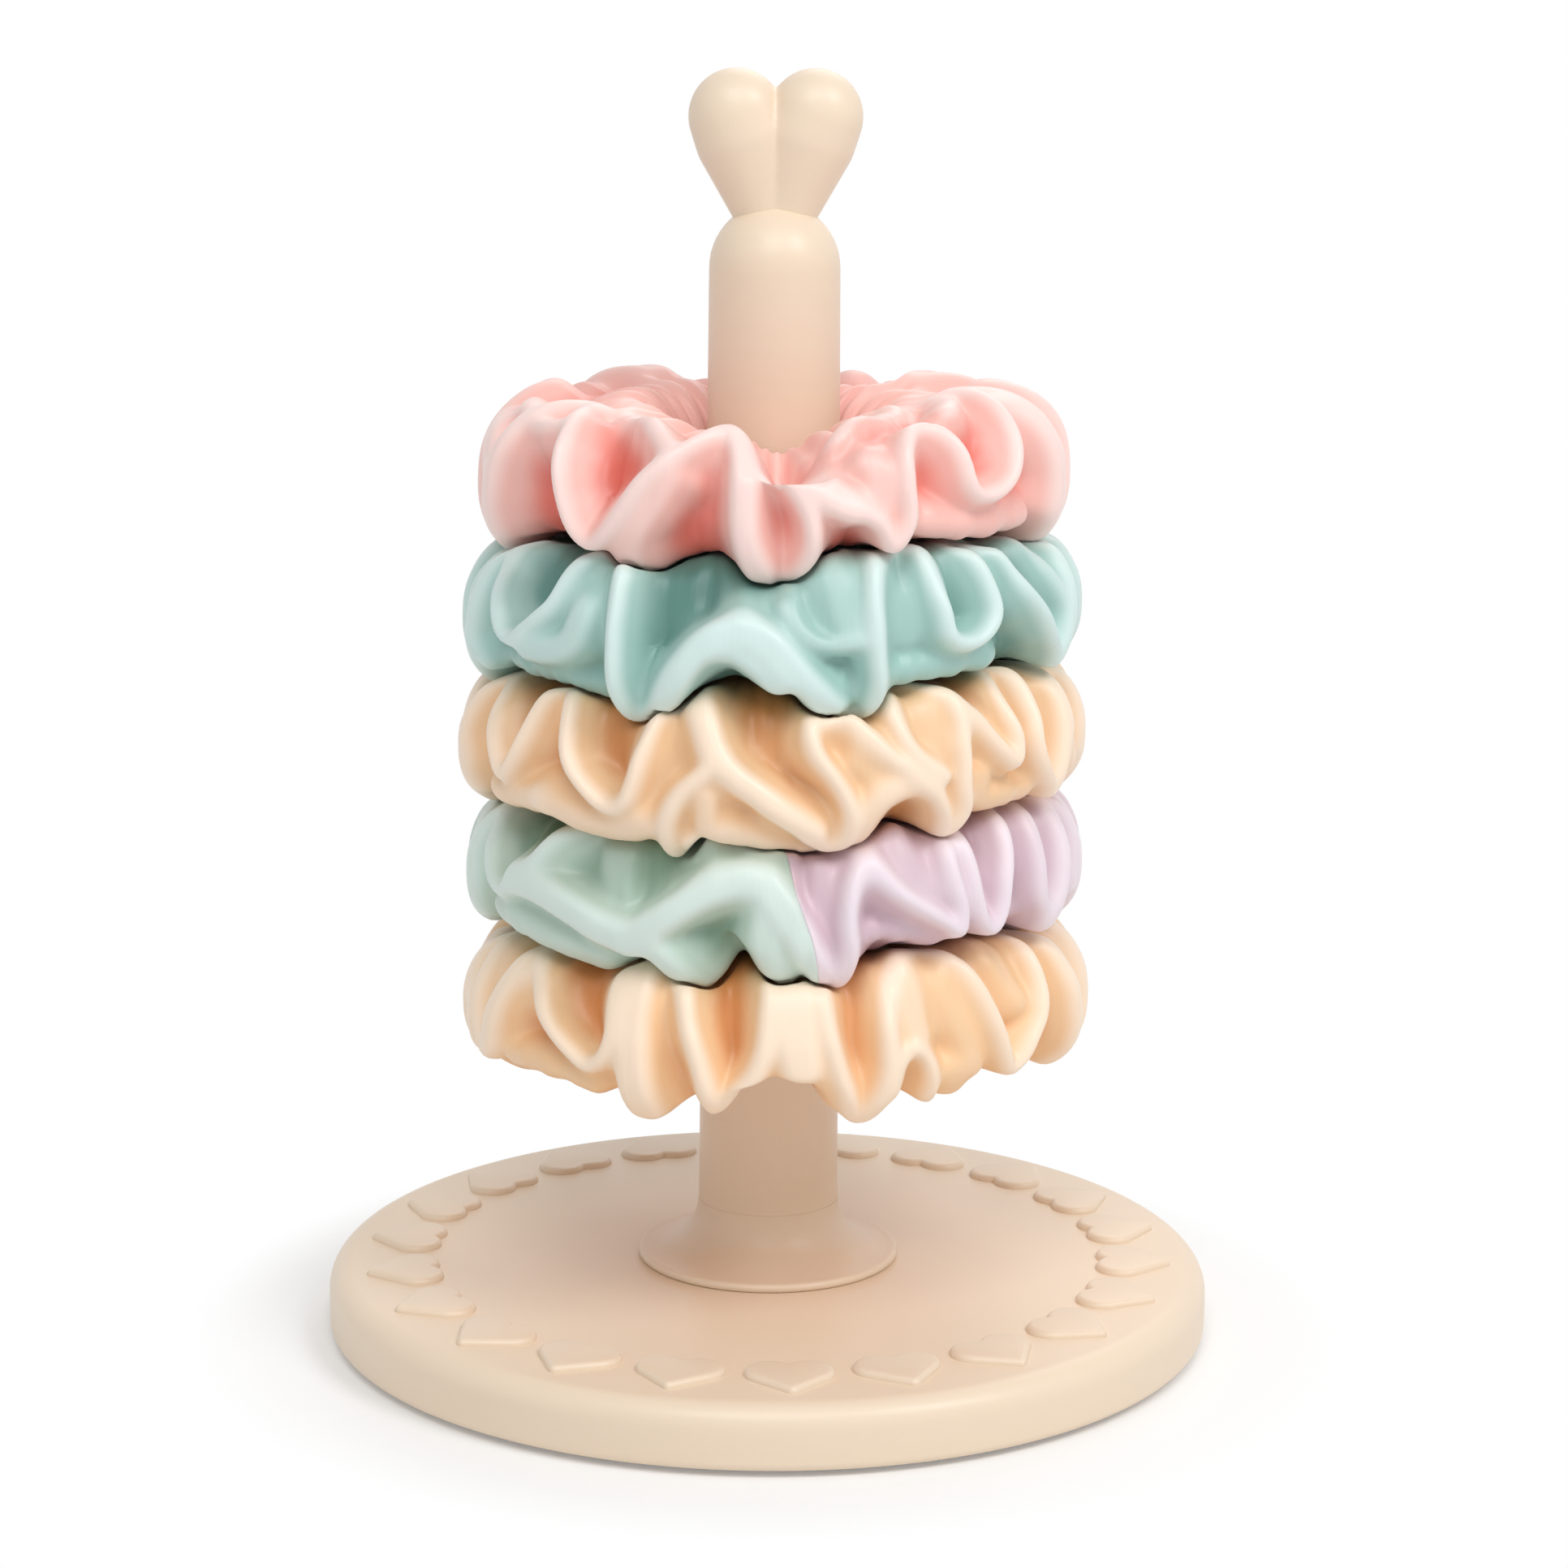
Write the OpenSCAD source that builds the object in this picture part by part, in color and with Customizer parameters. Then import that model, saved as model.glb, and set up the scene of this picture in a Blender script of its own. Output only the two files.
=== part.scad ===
// Hair tie holder: a weighted round base, a tapered post with a heart on top,
// and five satin hair ties pushed over the post.
// Millimetres, +Z up, front towards -Y. The origin lies under the middle of the base.

/* [Base] */
// Diameter of the round base
base_d = 148; // [140:1:180]
// Thickness of the base
base_h = 10.5; // [10:0.5:16]
// Radius of the rounded upper edge of the base
base_top_round = 4; // [2:0.5:5]
// Radius of the rounded lower edge of the base
base_bottom_round = 1.5; // [0.5:0.5:2.5]
// Wall thickness of the hollow base shell
base_wall = 2.2; // [1.6:0.1:2.6]
// Width of the rim left round the bottom cover
base_rim = 2; // [1.5:0.1:3]

/* [Raised hearts on the base] */
// Number of hearts in the ring
heart_count = 22; // [16:1:24]
// Width of one heart
heart_w = 14.2; // [10:0.1:15]
// Distance from the middle of the base to the heart tips
heart_tip_r = 68.5; // [64:0.5:70]
// Height of the hearts above the base
heart_raise = 0.8; // [0.4:0.1:1.5]
// Turn of the ring, so that one heart lies just right of the front
heart_turn = 3.4; // [0:0.1:16]

/* [Bottom cover, weight and feet] */
// Thickness of the bottom cover
cover_t = 2; // [1.6:0.1:2.4]
// Width of the ledge that the bottom cover seats on
cover_ledge = 1.5; // [1:0.1:2.5]
// Gap round the bottom cover
cover_gap = 0.2; // [0.1:0.05:0.4]
// Diameter of the steel weight
weight_d = 108; // [80:1:112]
// Thickness of the steel weight
weight_t = 5; // [3:0.5:5.5]
// Gap between the weight and the ribs above it
weight_gap = 0.2; // [0.1:0.05:0.4]
// Thickness of the ribs under the top of the shell
rib_t = 1.6; // [1:0.1:3]
// Number of ribs
rib_count = 8; // [4:1:12]
// Distance of the cover screws from the middle
screw_r = 62; // [60:0.5:64]
// Shank diameter of the cover screws
screw_d = 2.6; // [2:0.1:3]
// Length of the cover screws
screw_len = 6; // [5:0.5:7]
// Head diameter of the cover screws
screw_head_d = 5; // [4.4:0.1:5.6]
// Diameter of the bosses that take the cover screws
screw_boss_d = 7; // [6:0.1:8]
// Diameter of a rubber foot
foot_d = 14; // [10:0.5:18]
// Height of a foot below the bottom cover
foot_proud = 1; // [0.6:0.1:2]
// Depth of the recess that a foot is glued into
foot_recess = 0.6; // [0.3:0.1:1]
// Distance of the feet from the middle
foot_r = 58; // [45:0.5:60]

/* [Post] */
// Diameter of the post at its foot
post_d = 23.6; // [22:0.1:26]
// Diameter of the post at its shoulder
post_top_d = 21.2; // [20:0.1:23]
// Height of the shoulder above the base
post_h = 166; // [160:1:190]
// Wall thickness of the hollow post
post_wall = 2.2; // [1.6:0.1:3]
// Diameter of the thin lip round the foot of the post
lip_d = 44; // [43:0.5:60]
// Thickness of that lip
lip_h = 1.5; // [1:0.1:3]
// Radius of the curve from the post to the lip
flare_r = 8.5; // [4:0.5:9]
// Length of the plug in the foot of the post
plug_len = 20; // [16:1:40]

/* [Post bolt] */
// Thread diameter of the bolt
bolt_d = 5; // [4:0.5:6]
// Length of the bolt under its head
bolt_len = 16; // [14:1:17]
// Head diameter of the bolt
bolt_head_d = 9; // [8:0.5:10]
// Head height of the bolt
bolt_head_h = 2.8; // [2:0.1:3.5]
// Diameter of the washer
washer_d = 12; // [11:0.5:16]
// Thickness of the washer
washer_t = 1; // [0.8:0.1:1.2]
// Outer diameter of the brass insert
insert_d = 7.2; // [6.8:0.1:9]
// Length of the brass insert
insert_len = 10; // [6:0.5:12]

/* [Heart finial] */
// Distance between the middles of the two lobes at their tops
lobe_spacing = 12.7; // [11:0.1:14]
// Radius of a lobe at its top
lobe_r = 7.7; // [6:0.1:8]
// Distance between the middles of the two cheeks, below the lobes
cheek_spacing = 10.4; // [9:0.1:12]
// Radius of a cheek
cheek_r = 7.8; // [6.5:0.1:8.2]
// Height of the lobes' middles above those of the cheeks
cheek_drop = 3.3; // [2:0.1:6]
// Radius of the heart's tip, where it meets the post
root_r = 4.8; // [4:0.1:6]
// Height of the top of the heart above the domed top of the post
finial_h = 21.2; // [19:0.2:28]
// Depth of the heart as a share of its roundness
finial_depth = 0.9; // [0.7:0.05:1]
// Diameter of the spigot under the heart
spigot_d = 6; // [4:0.2:7]
// Length of that spigot below the top of the dome
spigot_len = 9; // [6:0.5:12]

/* [Hair ties] */
// Outer diameter of the pink tie
pink_d = 95; // [85:0.5:105]
// Outer diameter of the teal tie
teal_d = 100.3; // [88:0.1:108]
// Outer diameter of the champagne tie
champagne_d = 103.2; // [88:0.1:110]
// Outer diameter of the two-tone tie
two_tone_d = 102.8; // [88:0.1:110]
// Outer diameter of the peach tie
peach_d = 104.4; // [88:0.1:112]
// Height of the pink tie's middle above the base
pink_rise = 132.6; // [131:0.2:145]
// Height of the teal tie's middle above the base
teal_rise = 110.2; // [109:0.2:112]
// Height of the champagne tie's middle above the base
champagne_rise = 89.8; // [89:0.2:91]
// Height of the two-tone tie's middle above the base
two_tone_rise = 68.6; // [67:0.2:70]
// Height of the peach tie's middle above the base
peach_rise = 45.4; // [30:0.2:46]
// Greatest height of a tie above and below its middle
puff = 13.4; // [11:0.1:14]
// Depth of the hollows between the folds
hollow_depth = 6.5; // [3:0.1:7]
// Roundness of a fold's ridge
ridge_w = 5; // [3:0.1:8]
// Clearance between a tie and the post
post_fit = 0.3; // [0.2:0.05:0.6]
// Clearance round the heart when a tie is lifted over it
heart_fit = 0.7; // [0.4:0.1:2]
// Thickness of the round elastic
elastic_d = 4; // [2.5:0.1:4.4]
// Slack of the cloth round the elastic
elastic_gap = 0.25; // [0.2:0.05:0.4]
// Thickness of the gathered cloth between the opening and the elastic
cloth_t = 1.2; // [0.8:0.1:1.5]
// Height of the hollow inside a tie
tunnel_h = 6.4; // [5.4:0.1:8]
// Gap between one tie and the next
tie_gap = 0.6; // [0.5:0.05:1]
// Slope of the ties, up towards the right
tie_tilt = 1.3; // [0:0.1:3]
// Further slope of the peach tie, up towards the front
peach_tilt = 1; // [0:0.1:3]
// Place of the front seam in the two-tone tie, as an angle right of the front
seam_angle = 6; // [-12:6:12]

/* [Hidden] */
$fn = 96;
eps = 0.01;

stand_colour = [0.94, 0.86, 0.77];
steel_colour = [0.72, 0.73, 0.75];
elastic_colour = [0.95, 0.94, 0.92];

// Heights, from the surface that the stand rests on
base_z = foot_proud;
base_top = base_z + base_h;
cavity_z = base_z + cover_t;
cavity_top = base_top - base_wall;
shoulder_z = base_top + post_h;
dome_r = post_top_d / 2;

// Bottom of the base
cover_r = base_d / 2 - base_bottom_round - base_rim;
cavity_r = cover_r - cover_ledge;
rib_h = cavity_top - cavity_z - weight_t - weight_gap;
screw_head_h = (screw_head_d - screw_d) / 2;
thread_gap = 0.05;
foot_count = 4;
screw_count = 4;

// Bolt that holds the post
bolt_seat_t = 1.3;
washer_z = cavity_top - bolt_seat_t - washer_t;
bolt_hole_d = bolt_d + 0.5;
insert_z = base_top + 1;
plug_gap = 0.05;
weight_hole_d = washer_d + 3;

// Heart finial
dome_z = shoulder_z + dome_r;
lobe_z = dome_z + finial_h - lobe_r;
cheek_z = lobe_z - cheek_drop;
root_z = dome_z - 1;
root_x = 1.5;
lobe_x = lobe_spacing / 2;
cheek_x = cheek_spacing / 2;
heart_half_w = max(lobe_x + lobe_r, cheek_x + cheek_r);
spigot_gap = 0.05;
socket_wall = 2;

// Folds of the ties. Each tie has one ridge that winds up and down as it goes round:
// [angle right of the front, place of the ridge round the section], where 0 is
// the outside of the ring, 90 its top and -90 its bottom. Chosen by eye.
pink_folds = [
    [-172, 80], [-155, -60], [-138, 95], [-122, -70], [-104, 70], [-82, -55],
    [-62, 88], [-38, -29], [-8, 60], [2, -80], [6, 20], [24, -31],
    [32, 47], [43, 0], [66, 88], [82, -60], [98, 80], [114, -50],
    [130, 90], [146, -70], [160, 60], [174, -50]
];
teal_folds = [
    [-176, -60], [-160, 80], [-143, -70], [-126, 85], [-109, -60], [-96, 75],
    [-84, -50], [-70, 68], [-57, 0], [-35, 66], [-26, -56], [-6, 22],
    [14, -56], [27, 62], [38, 0], [51, 80], [70, -30], [84, 78],
    [96, -58], [110, 82], [124, -60], [138, 88], [152, -68], [167, 80]
];
champagne_folds = [
    [-175, 80], [-159, -65], [-143, 90], [-127, -60], [-111, 75], [-92, -55],
    [-72, 66], [-58, -5], [-45, 56], [-29, -17], [-17, 60], [6, -46],
    [11, 40], [34, -48], [40, 38], [49, 3], [54, 70], [66, -30],
    [78, 80], [92, -60], [108, 85], [124, -65], [140, 80], [154, -50],
    [168, 55], [177, -40]
];
two_tone_folds = [
    [-178, -60], [-161, 80], [-144, -65], [-127, 85], [-112, -60], [-99, 74],
    [-88, -40], [-76, 60], [-61, 3], [-38, 62], [-27, -16], [-6, 29],
    [11, -54], [18, 34], [34, -16], [38, 44], [45, -20], [55, 68],
    [66, -34], [76, 60], [88, -45], [101, 76], [116, -60], [131, 82],
    [148, -62], [165, 60]
];
peach_folds = [
    [-174, 80], [-158, -60], [-142, 85], [-126, -65], [-109, 80], [-94, -50],
    [-79, 62], [-68, -20], [-58, 64], [-36, -6], [-25, 62], [-10, -44],
    [3, 56], [16, -50], [30, 62], [48, -24], [65, 76], [80, -50],
    [95, 80], [111, -60], [127, 85], [143, -60], [158, 78], [172, -20]
];

// Places where two ties are sunk further: [angle, half breadth in degrees, depth, place
// where it is whole]. The pink tie opens in a notch at the front and is low round it,
// and the lower edge of the peach tie is drawn up there.
pink_notches = [[4, 9, 7, 42], [-4, 48, 5, 92]];
peach_notches = [[-1, 8, 6, -40]];

// The ties from the lowest to the highest: rise, diameter, tilt to the front, folds,
// share of the hollows' depth left at the top, places sunk further
TIES = [
    [base_top + peach_rise, peach_d, peach_tilt, peach_folds, 0.5, peach_notches],
    [base_top + two_tone_rise, two_tone_d, 0, two_tone_folds, 0.5, []],
    [base_top + champagne_rise, champagne_d, 0, champagne_folds, 0.5, []],
    [base_top + teal_rise, teal_d, 0, teal_folds, 0.5, []],
    [base_top + pink_rise, pink_d, 0, pink_folds, 1, pink_notches]
];
peach = 0;
two_tone = 1;
champagne = 2;
teal = 3;
pink = 4;
station_step = 6;
side_shares = [0.1, 0.22, 0.38, 0.58, 0.8];
fold_wander = 4;
section_power = 0.8;
elastic_in = cloth_t + elastic_gap + elastic_d / 2;
elastic_sides = 8;
inner_step = 18;
heart_side_lean = 0.4;

function heart_base(w) = w / (1 + 1 / sqrt(2));
function mix(a, b, t) = a + (b - a) * t;
function post_r_at(z) = mix(post_d, post_top_d, (z - base_top) / post_h) / 2;

// Place of the ridge round the section at one angle
function fold_at(folds, a, i = 0) =
    a < folds[0][0] ? fold_at(folds, a + 360) :
    a > folds[0][0] + 360 ? fold_at(folds, a - 360) :
    let (last = i == len(folds) - 1)
    let (p = folds[i], q = last ? [folds[0][0] + 360, folds[0][1]] : folds[i + 1])
    last || a <= q[0]
        ? mix(p[1], q[1], (1 - cos(180 * (a - p[0]) / (q[0] - p[0]))) / 2)
        : fold_at(folds, a, i + 1);

// Steepness of the ridge there, as millimetres across for a millimetre along
function fold_slope(i, a) =
    abs(fold_at(TIES[i][3], a + 1) - fold_at(TIES[i][3], a - 1)) / 2 * puff / (TIES[i][1] / 2);

// Half-width of the opening: close to the post at front and back, wide enough for
// the heart at left and right
function opening_x() = heart_half_w + heart_fit;
function opening_y(i) = post_r_at(TIES[i][0] - puff) + post_fit;
function oval_r(a, x, y) = 1 / sqrt(pow(sin(a) / x, 2) + pow(cos(a) / y, 2));

// Height of a tie's middle over a point of the ground
function level(i, x, y) = TIES[i][0] + x * tan(tie_tilt) - y * tan(TIES[i][2]);

// Height at which one tie and the next above it part
function parting(i, a, x, y) =
    (level(i, x, y) + level(i + 1, x, y)) / 2
    + fold_wander * (sin(fold_at(TIES[i][3], a)) + sin(fold_at(TIES[i + 1][3], a))) / 2;
function ceiling_z(i, a, x, y) = i == pink ? 1e3 : parting(i, a, x, y) - tie_gap / 2;
function floor_z(i, a, x, y) = i == peach ? 0 : parting(i - 1, a, x, y) + tie_gap / 2;

// Share of the hollow's depth that is left near the opening
function fade(v) = abs(v) < 80 ? 1 : abs(v) > 135 ? 0 : pow(cos(90 * (abs(v) - 80) / 55), 2);
function hollow(i, v, ridge, slope) =
    let (d = puff * abs(v - ridge) * PI / 180 / sqrt(1 + slope * slope))
    let (left = v > 0 ? mix(1, TIES[i][4], pow(sin(v), 2)) : 1)
    hollow_depth * left * fade(v) * (1 - exp(-pow(d / ridge_w, 2)));

// A cosine or sine made fuller, so that the section is between an oval and a box
function squared(x) = sign(x) * pow(abs(x), section_power);

// How far a tie's notches sink the skin towards its middle height
function notch(i, a, v, k = 0) =
    k == len(TIES[i][5]) ? 0 :
    let (n = TIES[i][5][k], along = min(max(v / n[3], 0), 1))
    n[2] * exp(-pow((a - n[0]) / n[1], 2)) * (1 - cos(180 * along)) / 2 * fade(v)
    + notch(i, a, v, k + 1);

// One point of a tie's skin, at an angle round the ring and a place round the section
function skin_point(i, a, v, ridge, slope) =
    let (
        r_in = oval_r(a, opening_x(), opening_y(i)),
        half = (TIES[i][1] / 2 - r_in) / 2,
        in = hollow(i, v, ridge, slope),
        r = r_in + half + (half - in) * squared(cos(v)),
        x = r * sin(a),
        y = -r * cos(a),
        flat = min(in + notch(i, a, v), puff - tunnel_h / 2 - cloth_t),
        z = level(i, x, y) + (puff - flat) * squared(sin(v))
    )
    [x, y, min(max(z, floor_z(i, a, x, y)), ceiling_z(i, a, x, y))];

// All points of the section at one angle, from the ridge up and over to the ridge again
function section_points(i, a) =
    let (
        ridge = fold_at(TIES[i][3], a),
        slope = fold_slope(i, a),
        up = [for (s = side_shares) mix(ridge, 180, s)],
        down = [for (k = [len(side_shares) - 1:-1:0]) mix(ridge, -180, side_shares[k])]
    )
    [for (v = concat([ridge], up, [180], down)) skin_point(i, a, v, ridge, slope)];

// Triangles between two neighbouring rings of n points
function band_faces(p, q, n) = [
    for (k = [0:n - 1])
        let (m = (k + 1) % n)
        each [[p * n + k, p * n + m, q * n + k], [p * n + m, q * n + m, q * n + k]]
];

// A whole ring of cloth, or the stretch of it between two angles with closed ends
module ruffle(i, from = -180, to = 180) {
    whole = to - from >= 360;
    count = (to - from) / station_step;
    angles = [for (k = [0:whole ? count - 1 : count]) from + k * station_step];
    n = 2 * len(side_shares) + 2;
    last = len(angles) - 1;
    rings = [for (a = angles) each section_points(i, a)];
    middles = [for (a = [from, to])
        let (r = (TIES[i][1] / 2 + oval_r(a, opening_x(), opening_y(i))) / 2)
        let (x = r * sin(a), y = -r * cos(a))
        [x, y, level(i, x, y)]];
    sides = [for (s = [0:whole ? last : last - 1]) each band_faces(s, (s + 1) % (last + 1), n)];
    first_end = [for (k = [0:n - 1]) [len(rings), (k + 1) % n, k]];
    last_end = [for (k = [0:n - 1]) [len(rings) + 1, last * n + k, last * n + (k + 1) % n]];
    polyhedron(
        points = whole ? rings : concat(rings, middles),
        faces = whole ? sides : concat(sides, first_end, last_end),
        convexity = 10
    );
}

// A closed ring inside one tie, from a section given as [distance in from the opening, height]
module inner_ring(i, section) {
    n = len(section);
    angles = [for (k = [0:360 / inner_step - 1]) (k + 0.5) * inner_step];
    points = [for (a = angles)
        let (r_in = oval_r(a, opening_x(), opening_y(i)))
        for (q = section)
            let (x = (r_in + q[0]) * sin(a), y = -(r_in + q[0]) * cos(a))
            [x, y, level(i, x, y) + q[1]]];
    faces = [for (s = [0:len(angles) - 1]) each band_faces(s, (s + 1) % len(angles), n)];
    polyhedron(points = points, faces = faces, convexity = 6);
}

// The hollow inside a tie: narrow round the elastic, widest in the middle of the puff
module tunnel(i) {
    width = TIES[i][1] / 2 - opening_x() - hollow_depth - 2 * cloth_t;
    near = [cloth_t, elastic_d / 4];
    beside = [elastic_in, elastic_d / 2 + 2 * elastic_gap];
    middle = [(TIES[i][1] / 2 - opening_x()) / 2, tunnel_h / 2];
    inner_ring(i, [[width, 0], middle, beside, near,
        [near[0], -near[1]], [beside[0], -beside[1]], [middle[0], -middle[1]]]);
}

module tie_cover(i, from = -180, to = 180) {
    difference() {
        ruffle(i, from, to);
        tunnel(i);
    }
}

module tie_elastic(i) {
    section = [for (k = [0:elastic_sides - 1])
        let (v = (k + 0.5) * 360 / elastic_sides)
        [elastic_in + elastic_d / 2 * cos(v), elastic_d / 2 * sin(v)]];
    color(elastic_colour) inner_ring(i, section);
}

// Half section of a disc with rounded edges
module disc_profile(r, h, top_round, bottom_round) {
    square([r - max(top_round, bottom_round), h]);
    translate([0, bottom_round]) square([r, h - top_round - bottom_round]);
    translate([r - top_round, h - top_round]) circle(top_round);
    translate([r - bottom_round, bottom_round]) circle(bottom_round);
    square([r - bottom_round, bottom_round]);
    translate([0, h - top_round]) square([r - top_round, top_round]);
}

// Flat heart with its tip at the origin, pointing down. Its straight sides cross the
// round lobes at a small angle, because edges that only touch don't join cleanly.
module flat_heart(w) {
    side = heart_base(w);
    half_tip = 45 - heart_side_lean;
    lobe = side / (2 * sqrt(2));
    polygon([[0, 0], side * [sin(half_tip), cos(half_tip)], [0, 3 * lobe], side * [-sin(half_tip), cos(half_tip)]]);
    for (s = [-1, 1]) translate([s * lobe, 3 * lobe]) circle(side / 2, $fn = 48);
}

module raised_hearts() {
    for (k = [0:heart_count - 1])
        rotate(k * 360 / heart_count + heart_turn)
            translate([0, -heart_tip_r, base_top - 0.5])
                linear_extrude(heart_raise + 0.5) flat_heart(heart_w);
}

module at_screws() {
    for (k = [0:screw_count - 1]) rotate(k * 360 / screw_count) translate([screw_r, 0, 0]) children();
}

module base_shell() {
    color(stand_colour) difference() {
        union() {
            difference() {
                translate([0, 0, base_z])
                    rotate_extrude() disc_profile(base_d / 2, base_h, base_top_round, base_bottom_round);
                translate([0, 0, base_z - 1]) cylinder(r = cover_r + cover_gap, h = cover_t + 1);
                translate([0, 0, cavity_z - eps]) cylinder(r = cavity_r, h = cavity_top - cavity_z + eps);
            }
            raised_hearts();
            at_screws() translate([0, 0, cavity_z])
                cylinder(d = screw_boss_d, h = cavity_top - cavity_z + eps);
            translate([0, 0, cavity_top - bolt_seat_t]) cylinder(d = washer_d, h = bolt_seat_t + eps);
            for (k = [0:rib_count - 1])
                rotate((k + 0.5) * 360 / rib_count)
                    translate([weight_hole_d / 2, -rib_t / 2, cavity_top - rib_h])
                        cube([(weight_d - weight_hole_d) / 2 - 1, rib_t, rib_h + eps]);
        }
        at_screws() translate([0, 0, base_z]) cylinder(d = screw_d + 2 * thread_gap, h = screw_len + 0.5);
        translate([0, 0, base_z]) cylinder(d = bolt_hole_d, h = base_h + 1);
    }
}

module base_weight() {
    color(steel_colour) translate([0, 0, cavity_z]) difference() {
        cylinder(d = weight_d, h = weight_t);
        translate([0, 0, -1]) cylinder(d = weight_hole_d, h = weight_t + 2);
    }
}

module base_cover() {
    color(stand_colour) difference() {
        translate([0, 0, base_z]) cylinder(r = cover_r, h = cover_t);
        at_screws() {
            translate([0, 0, base_z - 1]) cylinder(d = screw_d + 0.4, h = cover_t + 2);
            translate([0, 0, base_z])
                cylinder(d1 = screw_head_d + 0.1, d2 = screw_d + 0.1, h = screw_head_h);
        }
        for (k = [1:foot_count]) at_foot(k)
            translate([0, 0, base_z - 1]) cylinder(d = foot_d + 2 * cover_gap, h = foot_recess + 1);
    }
}

module cover_screws() {
    color(steel_colour) at_screws() translate([0, 0, base_z]) {
        cylinder(d1 = screw_head_d, d2 = screw_d, h = screw_head_h);
        cylinder(d = screw_d, h = screw_len);
    }
}

module at_foot(k) {
    rotate((k - 0.5) * 360 / foot_count) translate([foot_r, 0, 0]) children();
}

module foot(k) {
    color("dimgray") at_foot(k) cylinder(d = foot_d, h = foot_proud + foot_recess);
}

module post() {
    color(stand_colour) difference() {
        union() {
            rotate_extrude() {
                polygon([[0, base_top], [post_d / 2, base_top],
                    [dome_r, shoulder_z], [0, shoulder_z]]);
                translate([0, base_top]) square([lip_d / 2 - lip_h / 2, lip_h]);
                translate([lip_d / 2 - lip_h / 2, base_top + lip_h / 2]) circle(lip_h / 2);
                translate([0, base_top + lip_h]) difference() {
                    square([post_d / 2 + flare_r, flare_r]);
                    translate([post_d / 2 + flare_r, flare_r]) circle(flare_r);
                }
            }
            translate([0, 0, shoulder_z]) sphere(dome_r);
        }
        difference() {
            union() {
                translate([0, 0, base_top - eps])
                    cylinder(d1 = post_d - 2 * post_wall, d2 = post_top_d - 2 * post_wall, h = post_h + eps);
                translate([0, 0, shoulder_z]) sphere(dome_r - post_wall);
            }
            translate([0, 0, shoulder_z + dome_r - spigot_len - socket_wall])
                cylinder(d = spigot_d + 2 * socket_wall, h = spigot_len + socket_wall);
        }
        translate([0, 0, shoulder_z + dome_r - spigot_len - 0.5])
            cylinder(d = spigot_d + 2 * spigot_gap, h = spigot_len + 1);
    }
}

module post_plug() {
    foot_bore = post_d / 2 - post_wall;
    top_bore = post_r_at(base_top + plug_len) - post_wall;
    color(stand_colour) difference() {
        translate([0, 0, base_top])
            cylinder(r1 = foot_bore - plug_gap, r2 = top_bore - plug_gap, h = plug_len);
        translate([0, 0, base_top - 1]) cylinder(d = bolt_hole_d, h = plug_len - 1);
        translate([0, 0, base_top - 1])
            cylinder(d = insert_d + 2 * thread_gap, h = insert_z - base_top + insert_len + 1);
    }
}

module post_insert() {
    color("gold") translate([0, 0, insert_z]) difference() {
        cylinder(d = insert_d, h = insert_len);
        translate([0, 0, -1]) cylinder(d = bolt_d + 2 * thread_gap, h = insert_len + 2);
    }
}

module post_bolt() {
    color(steel_colour) difference() {
        union() {
            translate([0, 0, washer_z - bolt_head_h]) cylinder(d = bolt_head_d, h = bolt_head_h);
            translate([0, 0, washer_z - eps]) cylinder(d = bolt_d, h = bolt_len + eps);
        }
        translate([0, 0, washer_z - bolt_head_h - 1])
            cylinder(d = bolt_d * 0.9, h = bolt_head_h * 0.6 + 1, $fn = 6);
    }
}

module bolt_washer() {
    color(steel_colour) translate([0, 0, washer_z]) difference() {
        cylinder(d = washer_d, h = washer_t);
        translate([0, 0, -1]) cylinder(d = bolt_hole_d, h = washer_t + 2);
    }
}

module heart_finial() {
    color(stand_colour) {
        difference() {
            scale([1, finial_depth, 1]) for (s = [-1, 1]) hull($fn = 32) {
                translate([s * lobe_x, 0, lobe_z]) sphere(lobe_r, $fn = 32);
                translate([s * cheek_x, 0, cheek_z]) sphere(cheek_r, $fn = 32);
                translate([s * root_x, 0, root_z]) sphere(root_r, $fn = 32);
            }
            translate([0, 0, shoulder_z]) sphere(dome_r);
        }
        translate([0, 0, dome_z - spigot_len])
            cylinder(d = spigot_d, h = spigot_len + root_r / 2);
    }
}

module peach_cover() { color([0.98, 0.80, 0.66]) tie_cover(peach); }
module mint_half() { color([0.76, 0.89, 0.86]) tie_cover(two_tone, seam_angle - 180, seam_angle); }
module lilac_half() { color([0.86, 0.79, 0.88]) tie_cover(two_tone, seam_angle, seam_angle + 180); }
module champagne_cover() { color([0.97, 0.86, 0.74]) tie_cover(champagne); }
module teal_cover() { color([0.62, 0.83, 0.82]) tie_cover(teal); }
module pink_cover() { color([0.96, 0.79, 0.79]) tie_cover(pink); }

base_shell();
base_weight();
base_cover();
cover_screws();
foot(1);  // foot_1
foot(2);  // foot_2
foot(3);  // foot_3
foot(4);  // foot_4
post();
post_plug();
post_insert();
post_bolt();
bolt_washer();
heart_finial();
peach_cover();
tie_elastic(peach);  // peach_elastic
mint_half();
lilac_half();
tie_elastic(two_tone);  // two_tone_elastic
champagne_cover();
tie_elastic(champagne);  // champagne_elastic
teal_cover();
tie_elastic(teal);  // teal_elastic
pink_cover();
tie_elastic(pink);  // pink_elastic
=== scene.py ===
# %% [markdown]
# A hair tie holder: a cream stand with a heart on top and five satin hair ties.
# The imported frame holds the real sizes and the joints. This script gives each piece its
# looks. We start by loading the frame, which brings in every construction piece as a mesh.

import math

import bpy
import numpy as np
from mathutils import Euler, Matrix, Vector


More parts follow.
